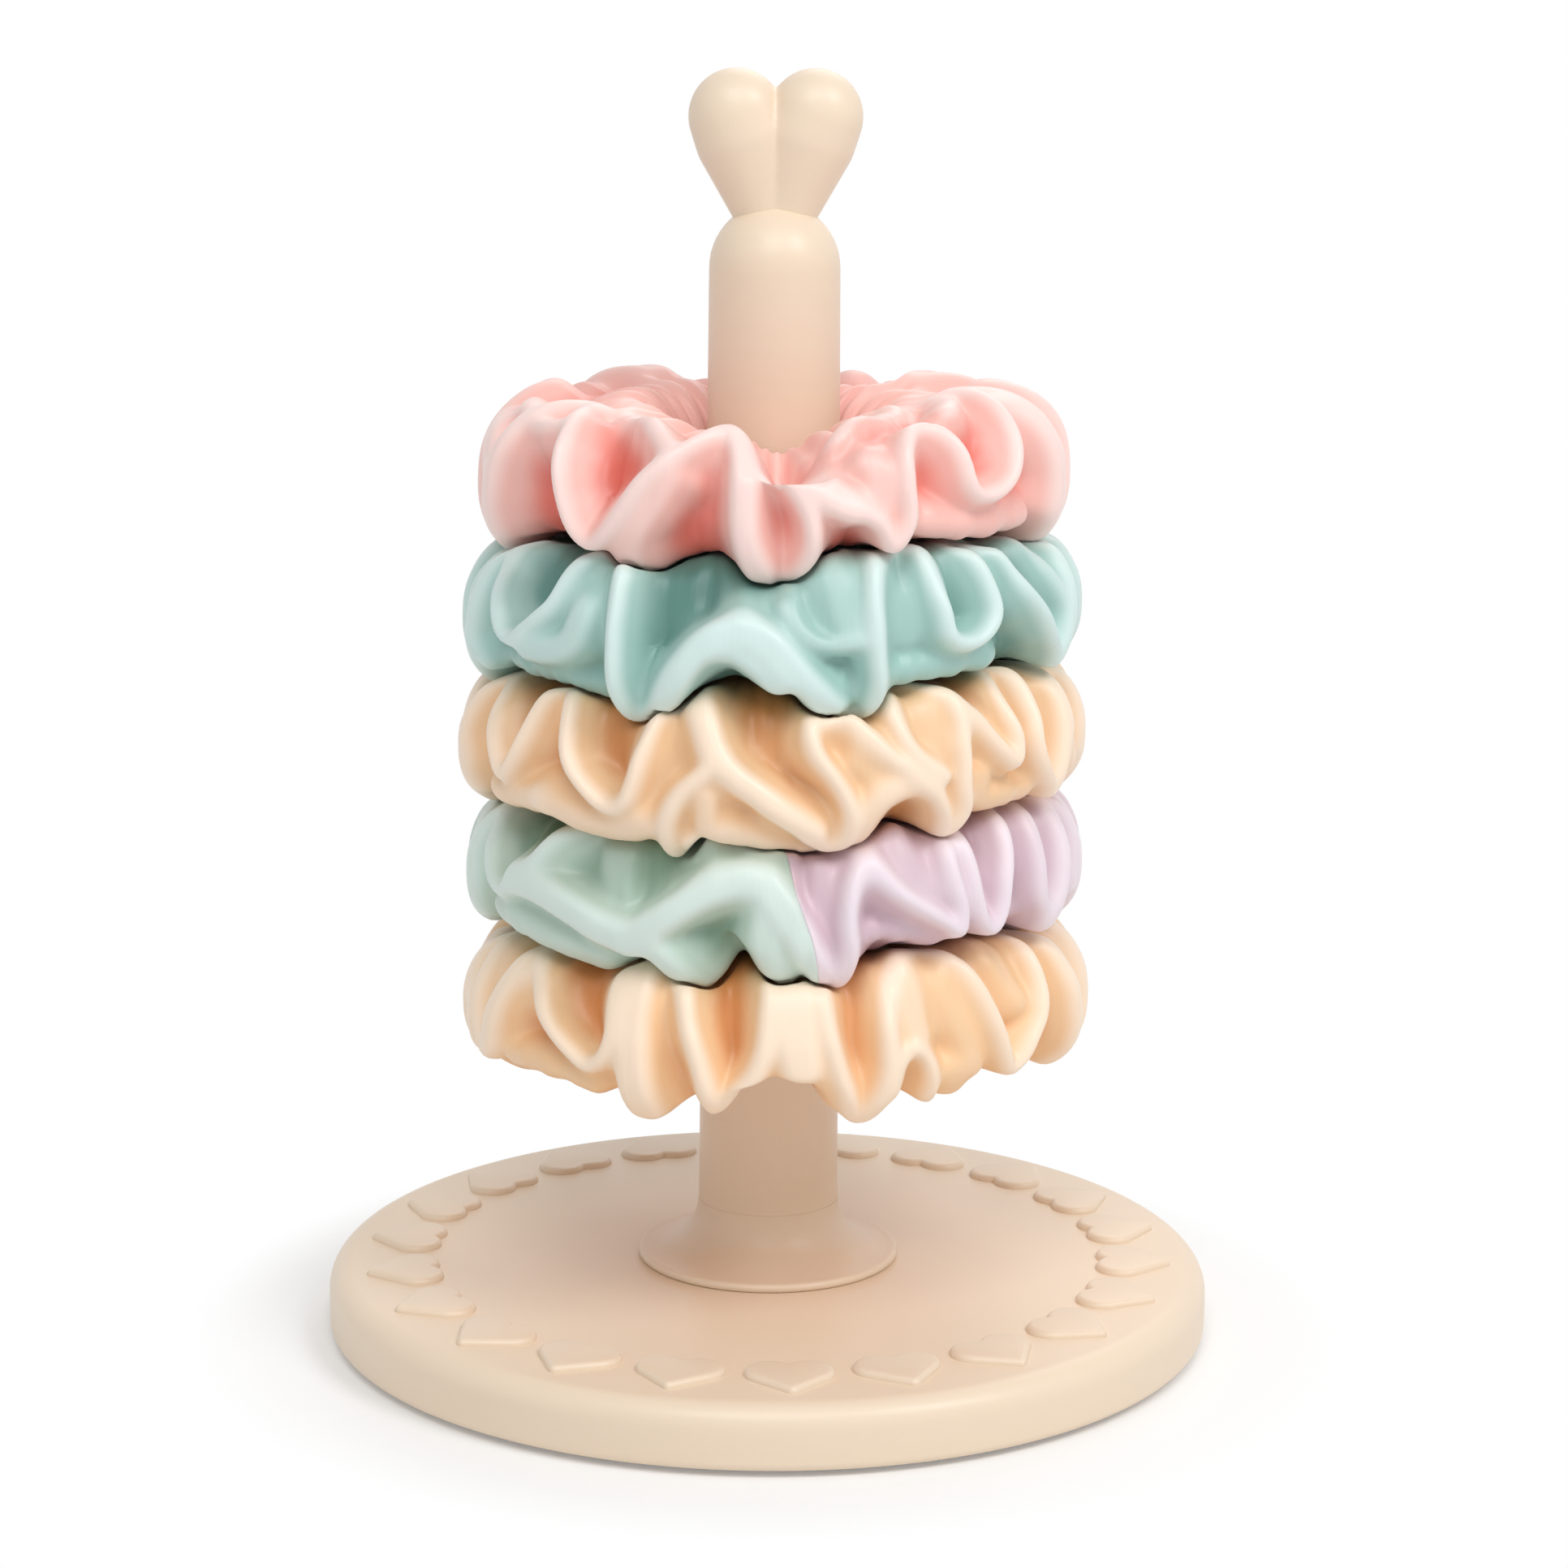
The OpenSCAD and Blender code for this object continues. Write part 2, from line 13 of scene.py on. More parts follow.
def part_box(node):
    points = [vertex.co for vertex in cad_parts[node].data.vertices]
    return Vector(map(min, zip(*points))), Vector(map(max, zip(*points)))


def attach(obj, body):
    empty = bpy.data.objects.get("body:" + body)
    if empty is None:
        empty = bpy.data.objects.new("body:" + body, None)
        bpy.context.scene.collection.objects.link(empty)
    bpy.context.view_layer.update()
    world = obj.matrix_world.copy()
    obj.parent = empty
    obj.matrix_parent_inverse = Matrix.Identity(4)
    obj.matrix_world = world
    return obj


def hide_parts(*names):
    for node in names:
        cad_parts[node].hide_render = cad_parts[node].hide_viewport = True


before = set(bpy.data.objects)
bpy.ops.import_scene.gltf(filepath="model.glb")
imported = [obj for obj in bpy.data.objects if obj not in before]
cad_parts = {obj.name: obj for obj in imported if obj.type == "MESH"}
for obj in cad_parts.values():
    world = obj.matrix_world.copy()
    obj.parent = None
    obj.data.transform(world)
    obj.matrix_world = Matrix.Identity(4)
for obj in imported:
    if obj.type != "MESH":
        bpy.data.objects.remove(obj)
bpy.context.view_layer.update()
bpy.ops.object.select_all(action="DESELECT")
MM = 0.001

# %% [markdown]
# The camera comes first, because every later choice is judged through it. The photo was
# taken from a little above with a long lens. A long lens placed far away keeps the post
# almost parallel. The stand leans a hair to the right in the photo, which is a small roll.

# %% Camera
CAMERA_PLACE = Vector((0, -614, 217.5)) * MM
LENS_MM = 86.8
SENSOR_MM = 36
CLIP_NEAR = 0.01
CLIP_FAR = 50
LOOK_DOWN = math.radians(11.5)
LOOK_LEFT = math.radians(-0.2)
CAMERA_ROLL = math.radians(0.45)

camera = bpy.data.objects.new("camera", bpy.data.cameras.new("camera"))
bpy.context.scene.collection.objects.link(camera)
aim = Euler((math.pi / 2 - LOOK_DOWN, 0, LOOK_LEFT)).to_matrix()
turned = aim @ Matrix.Rotation(CAMERA_ROLL, 3, "Z")
camera.matrix_world = Matrix.Translation(CAMERA_PLACE) @ turned.to_4x4()
camera.data.lens = LENS_MM
camera.data.sensor_width = SENSOR_MM
camera.data.clip_start = CLIP_NEAR
camera.data.clip_end = CLIP_FAR
bpy.context.scene.camera = camera
bpy.context.scene.view_settings.view_transform = "Standard"

# %% [markdown]
# Colours are easiest to choose as display values from 0 to 255. Blender's sockets want
# linear values, so one helper converts them. The others set a node's sockets, select one
# piece, apply its modifiers, and put its place into its mesh.

# %% Small helpers


def rgb(red, green, blue):
    linear = []
    for value in (red, green, blue):
        share = value / 255
        linear.append(share / 12.92 if share <= 0.04045 else ((share + 0.055) / 1.055) ** 2.4)
    return (*linear, 1)


def dial(node, **values):
    """Sets input sockets of a node. From_Min stands for the socket From Min."""
    for label, value in values.items():
        node.inputs[label.replace("_", " ")].default_value = value
    return node


def pick_only(obj):
    bpy.ops.object.select_all(action="DESELECT")
    obj.select_set(True)
    bpy.context.view_layer.objects.active = obj


def apply_modifiers(obj):
    pick_only(obj)
    for modifier in list(obj.modifiers):
        bpy.ops.object.modifier_apply(modifier=modifier.name)


def settle(obj, name):
    """Puts the piece's place into its mesh and gives it its name."""
    pick_only(obj)
    bpy.ops.object.transform_apply(location=True, rotation=True, scale=True)
    obj.name = name
    obj.data.name = name
    return obj


def smooth(obj, angle=40):
    pick_only(obj)
    bpy.ops.object.shade_smooth_by_angle(angle=math.radians(angle))


# %% [markdown]
# The photo is a product shot on white. A white floor gives that look, and Light Path lets
# the camera and every reflection see plain white where nothing stands. Close to the base
# the floor keeps part of its own shading, so that the soft contact shadow stays.

# %% Floor and backdrop


def new_material(name):
    material = bpy.data.materials.new(name)
    material.use_nodes = True
    material.node_tree.nodes.clear()
    return material, material.node_tree.nodes, material.node_tree.links


def white_share(nodes, links):
    """1 for camera, glossy and transmission rays, which see the plain white."""
    path = nodes.new("ShaderNodeLightPath")
    first = nodes.new("ShaderNodeMath")
    first.operation = "MAXIMUM"
    second = nodes.new("ShaderNodeMath")
    second.operation = "MAXIMUM"
    links.new(path.outputs["Is Camera Ray"], first.inputs[0])
    links.new(path.outputs["Is Glossy Ray"], first.inputs[1])
    links.new(first.outputs[0], second.inputs[0])
    links.new(path.outputs["Is Transmission Ray"], second.inputs[1])
    return second.outputs[0]


FLOOR_HALF = 3.0
SHADOW_START = 0.075
SHADOW_END = 0.1
WHITE_AT_BASE = 0.2
WHITE = (1, 1, 1, 1)

floor_material, nodes, links = new_material("white_floor")
floor_shade = dial(nodes.new("ShaderNodeBsdfDiffuse"), Color=rgb(250, 250, 250))
floor_light = dial(nodes.new("ShaderNodeEmission"), Color=WHITE, Strength=1)
floor_place = nodes.new("ShaderNodeTexCoord")
floor_reach = nodes.new("ShaderNodeVectorMath")
floor_reach.operation = "LENGTH"
links.new(floor_place.outputs["Object"], floor_reach.inputs[0])
floor_ramp = nodes.new("ShaderNodeMapRange")
floor_ramp.interpolation_type = "SMOOTHSTEP"
dial(floor_ramp, From_Min=SHADOW_START, From_Max=SHADOW_END, To_Min=WHITE_AT_BASE)
links.new(floor_reach.outputs["Value"], floor_ramp.inputs["Value"])
floor_share = nodes.new("ShaderNodeMath")
floor_share.operation = "MULTIPLY"
links.new(floor_ramp.outputs["Result"], floor_share.inputs[1])
links.new(white_share(nodes, links), floor_share.inputs[0])
floor_mix = nodes.new("ShaderNodeMixShader")
links.new(floor_share.outputs[0], floor_mix.inputs["Fac"])
links.new(floor_shade.outputs[0], floor_mix.inputs[1])
links.new(floor_light.outputs[0], floor_mix.inputs[2])
floor_out = nodes.new("ShaderNodeOutputMaterial")
links.new(floor_mix.outputs[0], floor_out.inputs["Surface"])

bpy.ops.mesh.primitive_plane_add(size=2 * FLOOR_HALF, location=(0, 0, 0))
floor = bpy.context.active_object
floor.name = "floor"
floor.data.materials.append(floor_material)

# %% [markdown]
# Soft studio light: the world gives an even fill, and three large area lamps shape the
# folds. In the photo the right side of the post is the bright one, and each raised heart
# is dark on its left, so the main lamp stands on the right. The lamps stay at a plain
# level, at which a colour renders about as it is written.

# %% Light
WORLD_FILL = 0.44
WORLD_SEEN = 1

world = bpy.data.worlds.new("studio")
bpy.context.scene.world = world
world.use_nodes = True
nodes, links = world.node_tree.nodes, world.node_tree.links
nodes.clear()
world_mix = nodes.new("ShaderNodeMixShader")
links.new(white_share(nodes, links), world_mix.inputs["Fac"])
for slot, strength in ((1, WORLD_FILL), (2, WORLD_SEEN)):
    glow = dial(nodes.new("ShaderNodeBackground"), Color=WHITE, Strength=strength)
    links.new(glow.outputs[0], world_mix.inputs[slot])
world_out = nodes.new("ShaderNodeOutputWorld")
links.new(world_mix.outputs[0], world_out.inputs["Surface"])


def area_lamp(name, place, aim_at, size, watts):
    lamp = bpy.data.objects.new(name, bpy.data.lights.new(name, "AREA"))
    lamp.data.shape = "DISK"
    lamp.data.size = size
    lamp.data.energy = watts
    bpy.context.scene.collection.objects.link(lamp)
    way = (Vector(aim_at) - Vector(place)).to_track_quat("-Z", "Y")
    lamp.matrix_world = Matrix.Translation(Vector(place)) @ way.to_matrix().to_4x4()


TIES_MIDDLE = (0, 0, 0.11)
area_lamp("key_lamp", (1.0, -0.8, 1.4), TIES_MIDDLE, 0.75, 10.4)
area_lamp("front_lamp", (-0.1, -1.15, 1.5), TIES_MIDDLE, 1.0, 11.0)
area_lamp("back_lamp", (0.3, 1.2, 1.3), TIES_MIDDLE, 1.1, 4.5)

# %% [markdown]
# Moulded plastic is never quite even: its gloss varies a little and its skin is faintly
# rippled. The rubber, the elastics and the metal parts want the same slight unevenness,
# so it is one node group with its own colour, roughness and ripple in each material.

# %% Moulded skin, a shared effect


def math_node(nodes, links, kind, first, second=None):
    node = nodes.new("ShaderNodeMath")
    node.operation = kind
    for slot, value in enumerate((first, second)):
        if value is None:
            continue
        if isinstance(value, (int, float)):
            node.inputs[slot].default_value = value
        else:
            links.new(value, node.inputs[slot])
    return node.outputs[0]


def new_group(name, inputs, outputs):
    tree = bpy.data.node_groups.new(name, "ShaderNodeTree")
    for label, kind, value in inputs:
        socket = tree.interface.new_socket(name=label, in_out="INPUT", socket_type=kind)
        socket.default_value = value
    for label, kind in outputs:
        tree.interface.new_socket(name=label, in_out="OUTPUT", socket_type=kind)
    return tree, tree.nodes.new("NodeGroupInput"), tree.nodes.new("NodeGroupOutput")


def noise_node(nodes, links, place, scale, detail):
    noise = dial(nodes.new("ShaderNodeTexNoise"), Scale=scale, Detail=detail)
    links.new(place, noise.inputs["Vector"])
    return noise.outputs["Fac"]


def around_middle(nodes, links, noise, middle, change):
    """Turns a noise from 0 to 1 into a value that swings by change around the middle."""
    swing = math_node(nodes, links, "MULTIPLY_ADD", noise, change)
    swing.node.inputs[2].default_value = middle - change / 2
    return swing


SKIN_NOISES = ((22, 3), (900, 2))
VALUE_CHANGE = 0.04
ROUGHNESS_CHANGE = 0.14
RIPPLE_HEIGHT = 0.0004
COLOUR, FLOAT, VECTOR = "NodeSocketColor", "NodeSocketFloat", "NodeSocketVector"
moulded_skin, group_in, group_out = new_group(
    "moulded_skin",
    [("Color", COLOUR, (0.8, 0.8, 0.8, 1)), ("Roughness", FLOAT, 0.4), ("Ripple", FLOAT, 0.05)],
    [("Color", COLOUR), ("Roughness", FLOAT), ("Normal", VECTOR)],
)
nodes, links = moulded_skin.nodes, moulded_skin.links
place = nodes.new("ShaderNodeTexCoord")
broad, fine = (noise_node(nodes, links, place.outputs["Object"], *noise) for noise in SKIN_NOISES)
shade = nodes.new("ShaderNodeHueSaturation")
links.new(group_in.outputs["Color"], shade.inputs["Color"])
links.new(around_middle(nodes, links, broad, 1, VALUE_CHANGE), shade.inputs["Value"])
links.new(shade.outputs["Color"], group_out.inputs["Color"])
uneven = around_middle(nodes, links, broad, 0, ROUGHNESS_CHANGE)
roughness = math_node(nodes, links, "ADD", uneven, group_in.outputs["Roughness"])
links.new(roughness, group_out.inputs["Roughness"])
ripple = dial(nodes.new("ShaderNodeBump"), Distance=RIPPLE_HEIGHT)
links.new(group_in.outputs["Ripple"], ripple.inputs["Strength"])
links.new(fine, ripple.inputs["Height"])
links.new(ripple.outputs["Normal"], group_out.inputs["Normal"])


def finish_material(name, group, values, **principled):
    """A Principled surface fed by a group, with plain numbers set on its own sockets."""
    material, nodes, links = new_material(name)
    effect = nodes.new("ShaderNodeGroup")
    effect.node_tree = group
    dial(effect, **values)
    shader = dial(nodes.new("ShaderNodeBsdfPrincipled"), **principled)
    feeds = {"Color": "Base Color", "Roughness": "Roughness", "Normal": "Normal"}
    for output in effect.outputs:
        links.new(output, shader.inputs[feeds[output.name]])
    out = nodes.new("ShaderNodeOutputMaterial")
    links.new(shader.outputs[0], out.inputs["Surface"])
    return material


cream_plastic = finish_material(
    "cream_plastic",
    moulded_skin,
    {"Color": rgb(236, 216, 192), "Roughness": 0.42, "Ripple": 0.06},
    Coat_Weight=0.12,
    Coat_Roughness=0.25,
)
under_plastic = finish_material(
    "under_plastic",
    moulded_skin,
    {"Color": rgb(222, 198, 174), "Roughness": 0.6, "Ripple": 0.2},
)
rubber = finish_material(
    "foot_rubber",
    moulded_skin,
    {"Color": rgb(62, 60, 58), "Roughness": 0.8, "Ripple": 0.3},
    Specular_IOR_Level=0.3,
)
elastic_braid = finish_material(
    "elastic_braid",
    moulded_skin,
    {"Color": rgb(236, 233, 226), "Roughness": 0.8, "Ripple": 0.4},
    Specular_IOR_Level=0.3,
)
steel = finish_material(
    "zinc_plated_steel",
    moulded_skin,
    {"Color": rgb(198, 200, 203), "Roughness": 0.32, "Ripple": 0.1},
    Metallic=1.0,
)
brass = finish_material(
    "brass",
    moulded_skin,
    {"Color": rgb(214, 178, 104), "Roughness": 0.3, "Ripple": 0.1},
    Metallic=1.0,
)

# %% [markdown]
# The construction pieces whose shape is already right keep it, and only get a finish.

# %% Finishes of the construction pieces
NODE_FINISH = {
    "post": cream_plastic,
    "post_plug": under_plastic,
    "base_cover": under_plastic,
    "base_weight": steel,
    "cover_screws": steel,
    "post_bolt": steel,
    "bolt_washer": steel,
    "post_insert": brass,
    **{f"foot_{number}": rubber for number in range(1, 5)},
}
for node_name, finish in NODE_FINISH.items():
    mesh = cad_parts[node_name].data
    mesh.materials.clear()
    mesh.materials.append(finish)

# %% [markdown]
# The base is a round disc with a soft top edge. A cylinder is the natural start: its two
# rims are bevelled, and the underside is inset and pushed in where the cover sits.

# %% Base disc
base_low, base_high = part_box("base_shell")
cover_low, cover_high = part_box("base_cover")
HEART_RAISE = 0.8 * MM
TOP_ROUND = 4 * MM
BOTTOM_ROUND = 1.5 * MM
COVER_GAP = 0.2 * MM
LEDGE = 1.5 * MM
TOP_WALL = 2.2 * MM
DISC_SIDES = 192
base_radius = base_high.x
base_bottom = base_low.z
base_top = base_high.z - HEART_RAISE
cover_radius = cover_high.x


def rim_edges(mesh, height, radius, reach=1e-5):
    """Selects the edges of the round rim at one height and radius, in object mode."""
    for edge in mesh.edges:
        ends = [mesh.vertices[v].co for v in edge.vertices]
        edge.select = all(
            abs(p.z - height) < reach and abs(math.hypot(p.x, p.y) - radius) < reach for p in ends
        )


def edit(select_mode="EDGE"):
    bpy.ops.object.mode_set(mode="EDIT")
    bpy.ops.mesh.select_mode(type=select_mode)
    bpy.ops.mesh.select_all(action="DESELECT")
    bpy.ops.object.mode_set(mode="OBJECT")


bpy.ops.mesh.primitive_cylinder_add(
    vertices=DISC_SIDES,
    radius=base_radius,
    depth=base_top - base_bottom,
    location=(0, 0, (base_top + base_bottom) / 2),
)
base = settle(bpy.context.active_object, "base_disc")
for height, width, steps in ((base_top, TOP_ROUND, 10), (base_bottom, BOTTOM_ROUND, 5)):
    edit()
    rim_edges(base.data, height, base_radius)
    bpy.ops.object.mode_set(mode="EDIT")
    bpy.ops.mesh.bevel(offset=width, offset_type="OFFSET", segments=steps, profile=0.5)
    bpy.ops.object.mode_set(mode="OBJECT")


def select_cap(mesh, height, facing, reach=1e-5):
    """Selects the flat face at one height that faces up or down, and returns its outer radius."""
    level = [p for p in mesh.polygons if abs(p.center.z - height) < reach]
    found = [p for p in level if p.normal.z * facing > 0.9]
    for polygon in found:
        polygon.select = True
    return max(math.hypot(*mesh.vertices[v].co.xy) for p in found for v in p.vertices)


def sink_cap(obj, height, radius, depth):
    """Insets the lowest cap to a radius and pushes it up by depth."""
    edit("FACE")
    outer = select_cap(obj.data, height, -1)
    bpy.ops.object.mode_set(mode="EDIT")
    bpy.ops.mesh.inset(thickness=outer - radius)
    bpy.ops.mesh.extrude_region_move(TRANSFORM_OT_translate={"value": (0, 0, depth)})
    bpy.ops.object.mode_set(mode="OBJECT")


sink_cap(base, base_bottom, cover_radius + COVER_GAP, cover_high.z - cover_low.z)
sink_cap(base, cover_high.z, cover_radius - LEDGE, base_top - TOP_WALL - cover_high.z)
smooth(base, 35)
base.data.materials.append(cream_plastic)
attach(base, "stand")
print("base disc", len(base.data.polygons), "faces")

# %% [markdown]
# A ring of low hearts is moulded into the top of the base. One heart is modelled: a flat
# outline is extruded, its edge is rounded over, and the rest are copies turned round the
# base. Each copy gets its own mesh and all are joined into one piece.

# %% Raised hearts
HEART_COUNT = 22
HEART_WIDTH = 14.2 * MM
HEART_TIP_RADIUS = 68.5 * MM
HEART_TURN = math.radians(3.4)
HEART_SUNK = 0.3 * MM
HEART_PUFF = 1.1 * MM
HEART_ROUND = 1.2 * MM
TIP_ROUND = 1.1 * MM
OUTLINE_STEPS = 14
TIP_STEPS = 4


def heart_outline(width):
    """Points round a heart: a small round tip at the origin and two half circles above it."""
    side = width / (1 + 1 / math.sqrt(2))
    lobe = side / (2 * math.sqrt(2))
    right = []
    for step in range(TIP_STEPS + 1):
        turn = math.radians(-90 + 45 * step / TIP_STEPS)
        right.append((TIP_ROUND * math.cos(turn), TIP_ROUND * (math.sqrt(2) + math.sin(turn))))
    for step in range(OUTLINE_STEPS + 1):
        turn = math.radians(-45 + 180 * step / OUTLINE_STEPS)
        right.append((lobe + side / 2 * math.cos(turn), 3 * lobe + side / 2 * math.sin(turn)))
    return [*right, *[(-x, y) for x, y in reversed(right[1:-1])]]


outline = heart_outline(HEART_WIDTH)
bpy.ops.mesh.primitive_circle_add(vertices=len(outline), radius=HEART_WIDTH / 2, fill_type="NGON")
heart = bpy.context.active_object
for vertex, (x, y) in zip(heart.data.vertices, outline):
    vertex.co = (x, y, 0)
bpy.ops.object.mode_set(mode="EDIT")
bpy.ops.mesh.select_all(action="SELECT")
bpy.ops.mesh.normals_make_consistent(inside=False)
bpy.ops.mesh.extrude_region_move(TRANSFORM_OT_translate={"value": (0, 0, HEART_SUNK + HEART_PUFF)})
bpy.ops.mesh.select_all(action="SELECT")
bpy.ops.mesh.normals_make_consistent(inside=False)
bpy.ops.object.mode_set(mode="OBJECT")
edit()
for edge in heart.data.edges:
    ends = [heart.data.vertices[v].co.z for v in edge.vertices]
    edge.select = min(ends) > HEART_SUNK
bpy.ops.object.mode_set(mode="EDIT")
bpy.ops.mesh.bevel(
    offset=HEART_ROUND, offset_type="OFFSET", segments=4, profile=0.5, clamp_overlap=True
)
bpy.ops.object.mode_set(mode="OBJECT")

hearts = []
for index in range(HEART_COUNT):
    copy = heart.copy()
    copy.data = heart.data.copy()
    bpy.context.scene.collection.objects.link(copy)
    turn = Matrix.Rotation(2 * math.pi * index / HEART_COUNT + HEART_TURN, 4, "Z")
    copy.matrix_world = turn @ Matrix.Translation((0, -HEART_TIP_RADIUS, base_top - HEART_SUNK))
    hearts.append(copy)
bpy.data.objects.remove(heart)
pick_only(hearts[0])
for copy in hearts:
    copy.select_set(True)
bpy.ops.object.join()
heart_ring = settle(bpy.context.active_object, "raised_hearts")
smooth(heart_ring, 60)
heart_ring.data.materials.append(cream_plastic)
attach(heart_ring, "stand")
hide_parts("base_shell")
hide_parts("base_shell")
print("raised hearts", HEART_COUNT, "with", len(heart_ring.data.polygons), "faces")

# %% [markdown]
# The heart on top is two plump lobes that lean together and melt into the dome. Three
# spheres mark each lobe's top, belly and root, and the hull round them is the lobe. A
# voxel remesh joins both lobes into one skin, and smoothing softens the valley.

# %% Heart on top
post_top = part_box("post")[1].z
heart_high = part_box("heart_finial")[1]
LOBE_SPACING = 12.7 * MM
LOBE_RADIUS = 7.7 * MM
BELLY_RADIUS = 7.8 * MM
BELLY_SPACING = 10.4 * MM
BELLY_DROP = 3.3 * MM
ROOT_RADIUS = 4.9 * MM
ROOT_SPACING = 3 * MM
ROOT_SINK = 1.6 * MM
HEART_DEPTH = 0.9
SKIN_CELL = 0.42 * MM
SOFTEN_ROUNDS = 14
lobe_z = heart_high.z - LOBE_RADIUS
LOBE_PARTS = (
    (LOBE_SPACING / 2, lobe_z, LOBE_RADIUS),
    (BELLY_SPACING / 2, lobe_z - BELLY_DROP, BELLY_RADIUS),
    (ROOT_SPACING / 2, post_top - ROOT_SINK, ROOT_RADIUS),
)
lobes = []
for side in (-1, 1):
    balls = []
    for across, height, radius in LOBE_PARTS:
        bpy.ops.mesh.primitive_uv_sphere_add(
            segments=64, ring_count=32, radius=radius, location=(side * across, 0, height)
        )
        balls.append(bpy.context.active_object)
    pick_only(balls[0])
    for ball in balls:
        ball.select_set(True)
    bpy.ops.object.join()
    bpy.ops.object.mode_set(mode="EDIT")
    bpy.ops.mesh.select_all(action="SELECT")
    bpy.ops.mesh.convex_hull()
    bpy.ops.object.mode_set(mode="OBJECT")
    lobes.append(bpy.context.active_object)
pick_only(lobes[0])
lobes[1].select_set(True)
bpy.ops.object.join()
finial = settle(bpy.context.active_object, "heart_on_top")
blend_skin = finial.modifiers.new("one_skin", "REMESH")
blend_skin.mode = "VOXEL"
blend_skin.voxel_size = SKIN_CELL
soften = finial.modifiers.new("soften", "SMOOTH")
soften.factor = 0.5
soften.iterations = SOFTEN_ROUNDS
apply_modifiers(finial)
for vertex in finial.data.vertices:
    vertex.co.y *= HEART_DEPTH
for polygon in finial.data.polygons:
    polygon.use_smooth = True
finial.data.materials.append(cream_plastic)
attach(finial, "stand")
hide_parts("heart_finial")
print("heart on top", len(finial.data.polygons), "faces")

# %% [markdown]
# Each hair tie is a tube of satin gathered round an elastic. What shows is a ridge that
# winds up and down round the ring, with deep hollows between. A section through the ring
# is given by an angle round the ring, measured from the front, and a place round the
# tube: 0 is the outside, 90 the top, -90 the bottom and 180 the opening. Ridges are
# drawn as strokes in those two angles, and the skin sinks with distance from
# the nearest stroke. That is closer to the real folds than noise could be.

# %% Sizes of the ties
POST_FOOT_RADIUS = 11.8
POST_TOP_RADIUS = 10.6
SHOULDER = 165.0
STAND_TOP = base_top / MM
POST_FIT = 0.3
HEART_FIT = 0.7
TILT_RIGHT = 1.3
COLUMNS = 640
ROWS = 128
SQUARENESS = 2.5
opening_x = heart_high.x / MM + HEART_FIT


class Tie:
    """One ring: outer radius, height of its middle, shift to the right and half thickness."""

    def __init__(self, name, radius, height, shift, puff, tilt_front=0.0, top_depth=3.5):
        self.name = name
        self.top_depth = top_depth
        self.radius = radius
        self.height = height
        self.shift = shift
        self.puff = puff
        self.tilt_front = tilt_front
        bottom = height - puff - STAND_TOP
        taper = (POST_TOP_RADIUS - POST_FOOT_RADIUS) * bottom / SHOULDER
        self.opening_y = POST_FOOT_RADIUS + taper + POST_FIT

    def skin(self, angle, place, sunk=0.0):
        """Points on the tube in millimetres, sunk by a depth below its full shape."""
        turn, around = np.radians(angle), np.radians(place)
        reach = 1 / np.sqrt((np.sin(turn) / opening_x) ** 2 + (np.cos(turn) / self.opening_y) ** 2)
        half = (self.radius - reach) / 2
        corner = np.abs(np.cos(around)) ** SQUARENESS + np.abs(np.sin(around)) ** SQUARENESS
        square = corner ** (-1 / SQUARENESS)
        out = reach + half + (half * square - sunk) * np.cos(around)
        x, y = out * np.sin(turn), -out * np.cos(turn)
        right = x * math.tan(math.radians(TILT_RIGHT))
        front = y * math.tan(math.radians(self.tilt_front))
        z = self.height + right - front + (self.puff * square - sunk) * np.sin(around)
        return np.stack([x + self.shift * out / self.radius, y, z], axis=-1)


# %% [markdown]
# The strokes of each tie. A stroke is a half breadth and the roundness of its crest in
# millimetres, then how far it already lies below the full tube, from 0 to 1, then its
# points as (angle, place). Narrow strokes are the bright ridges of the photo, and broad
# ones the flat faces between them.

# %% Strokes
RIDGE = (0.3, 1.3, 0.0)
SOFT_RIDGE = (0.6, 2.2, 0.08)
FACE = (0.8, 4.5, 0.22)
SHADED_FACE = (0.8, 4.5, 0.4)

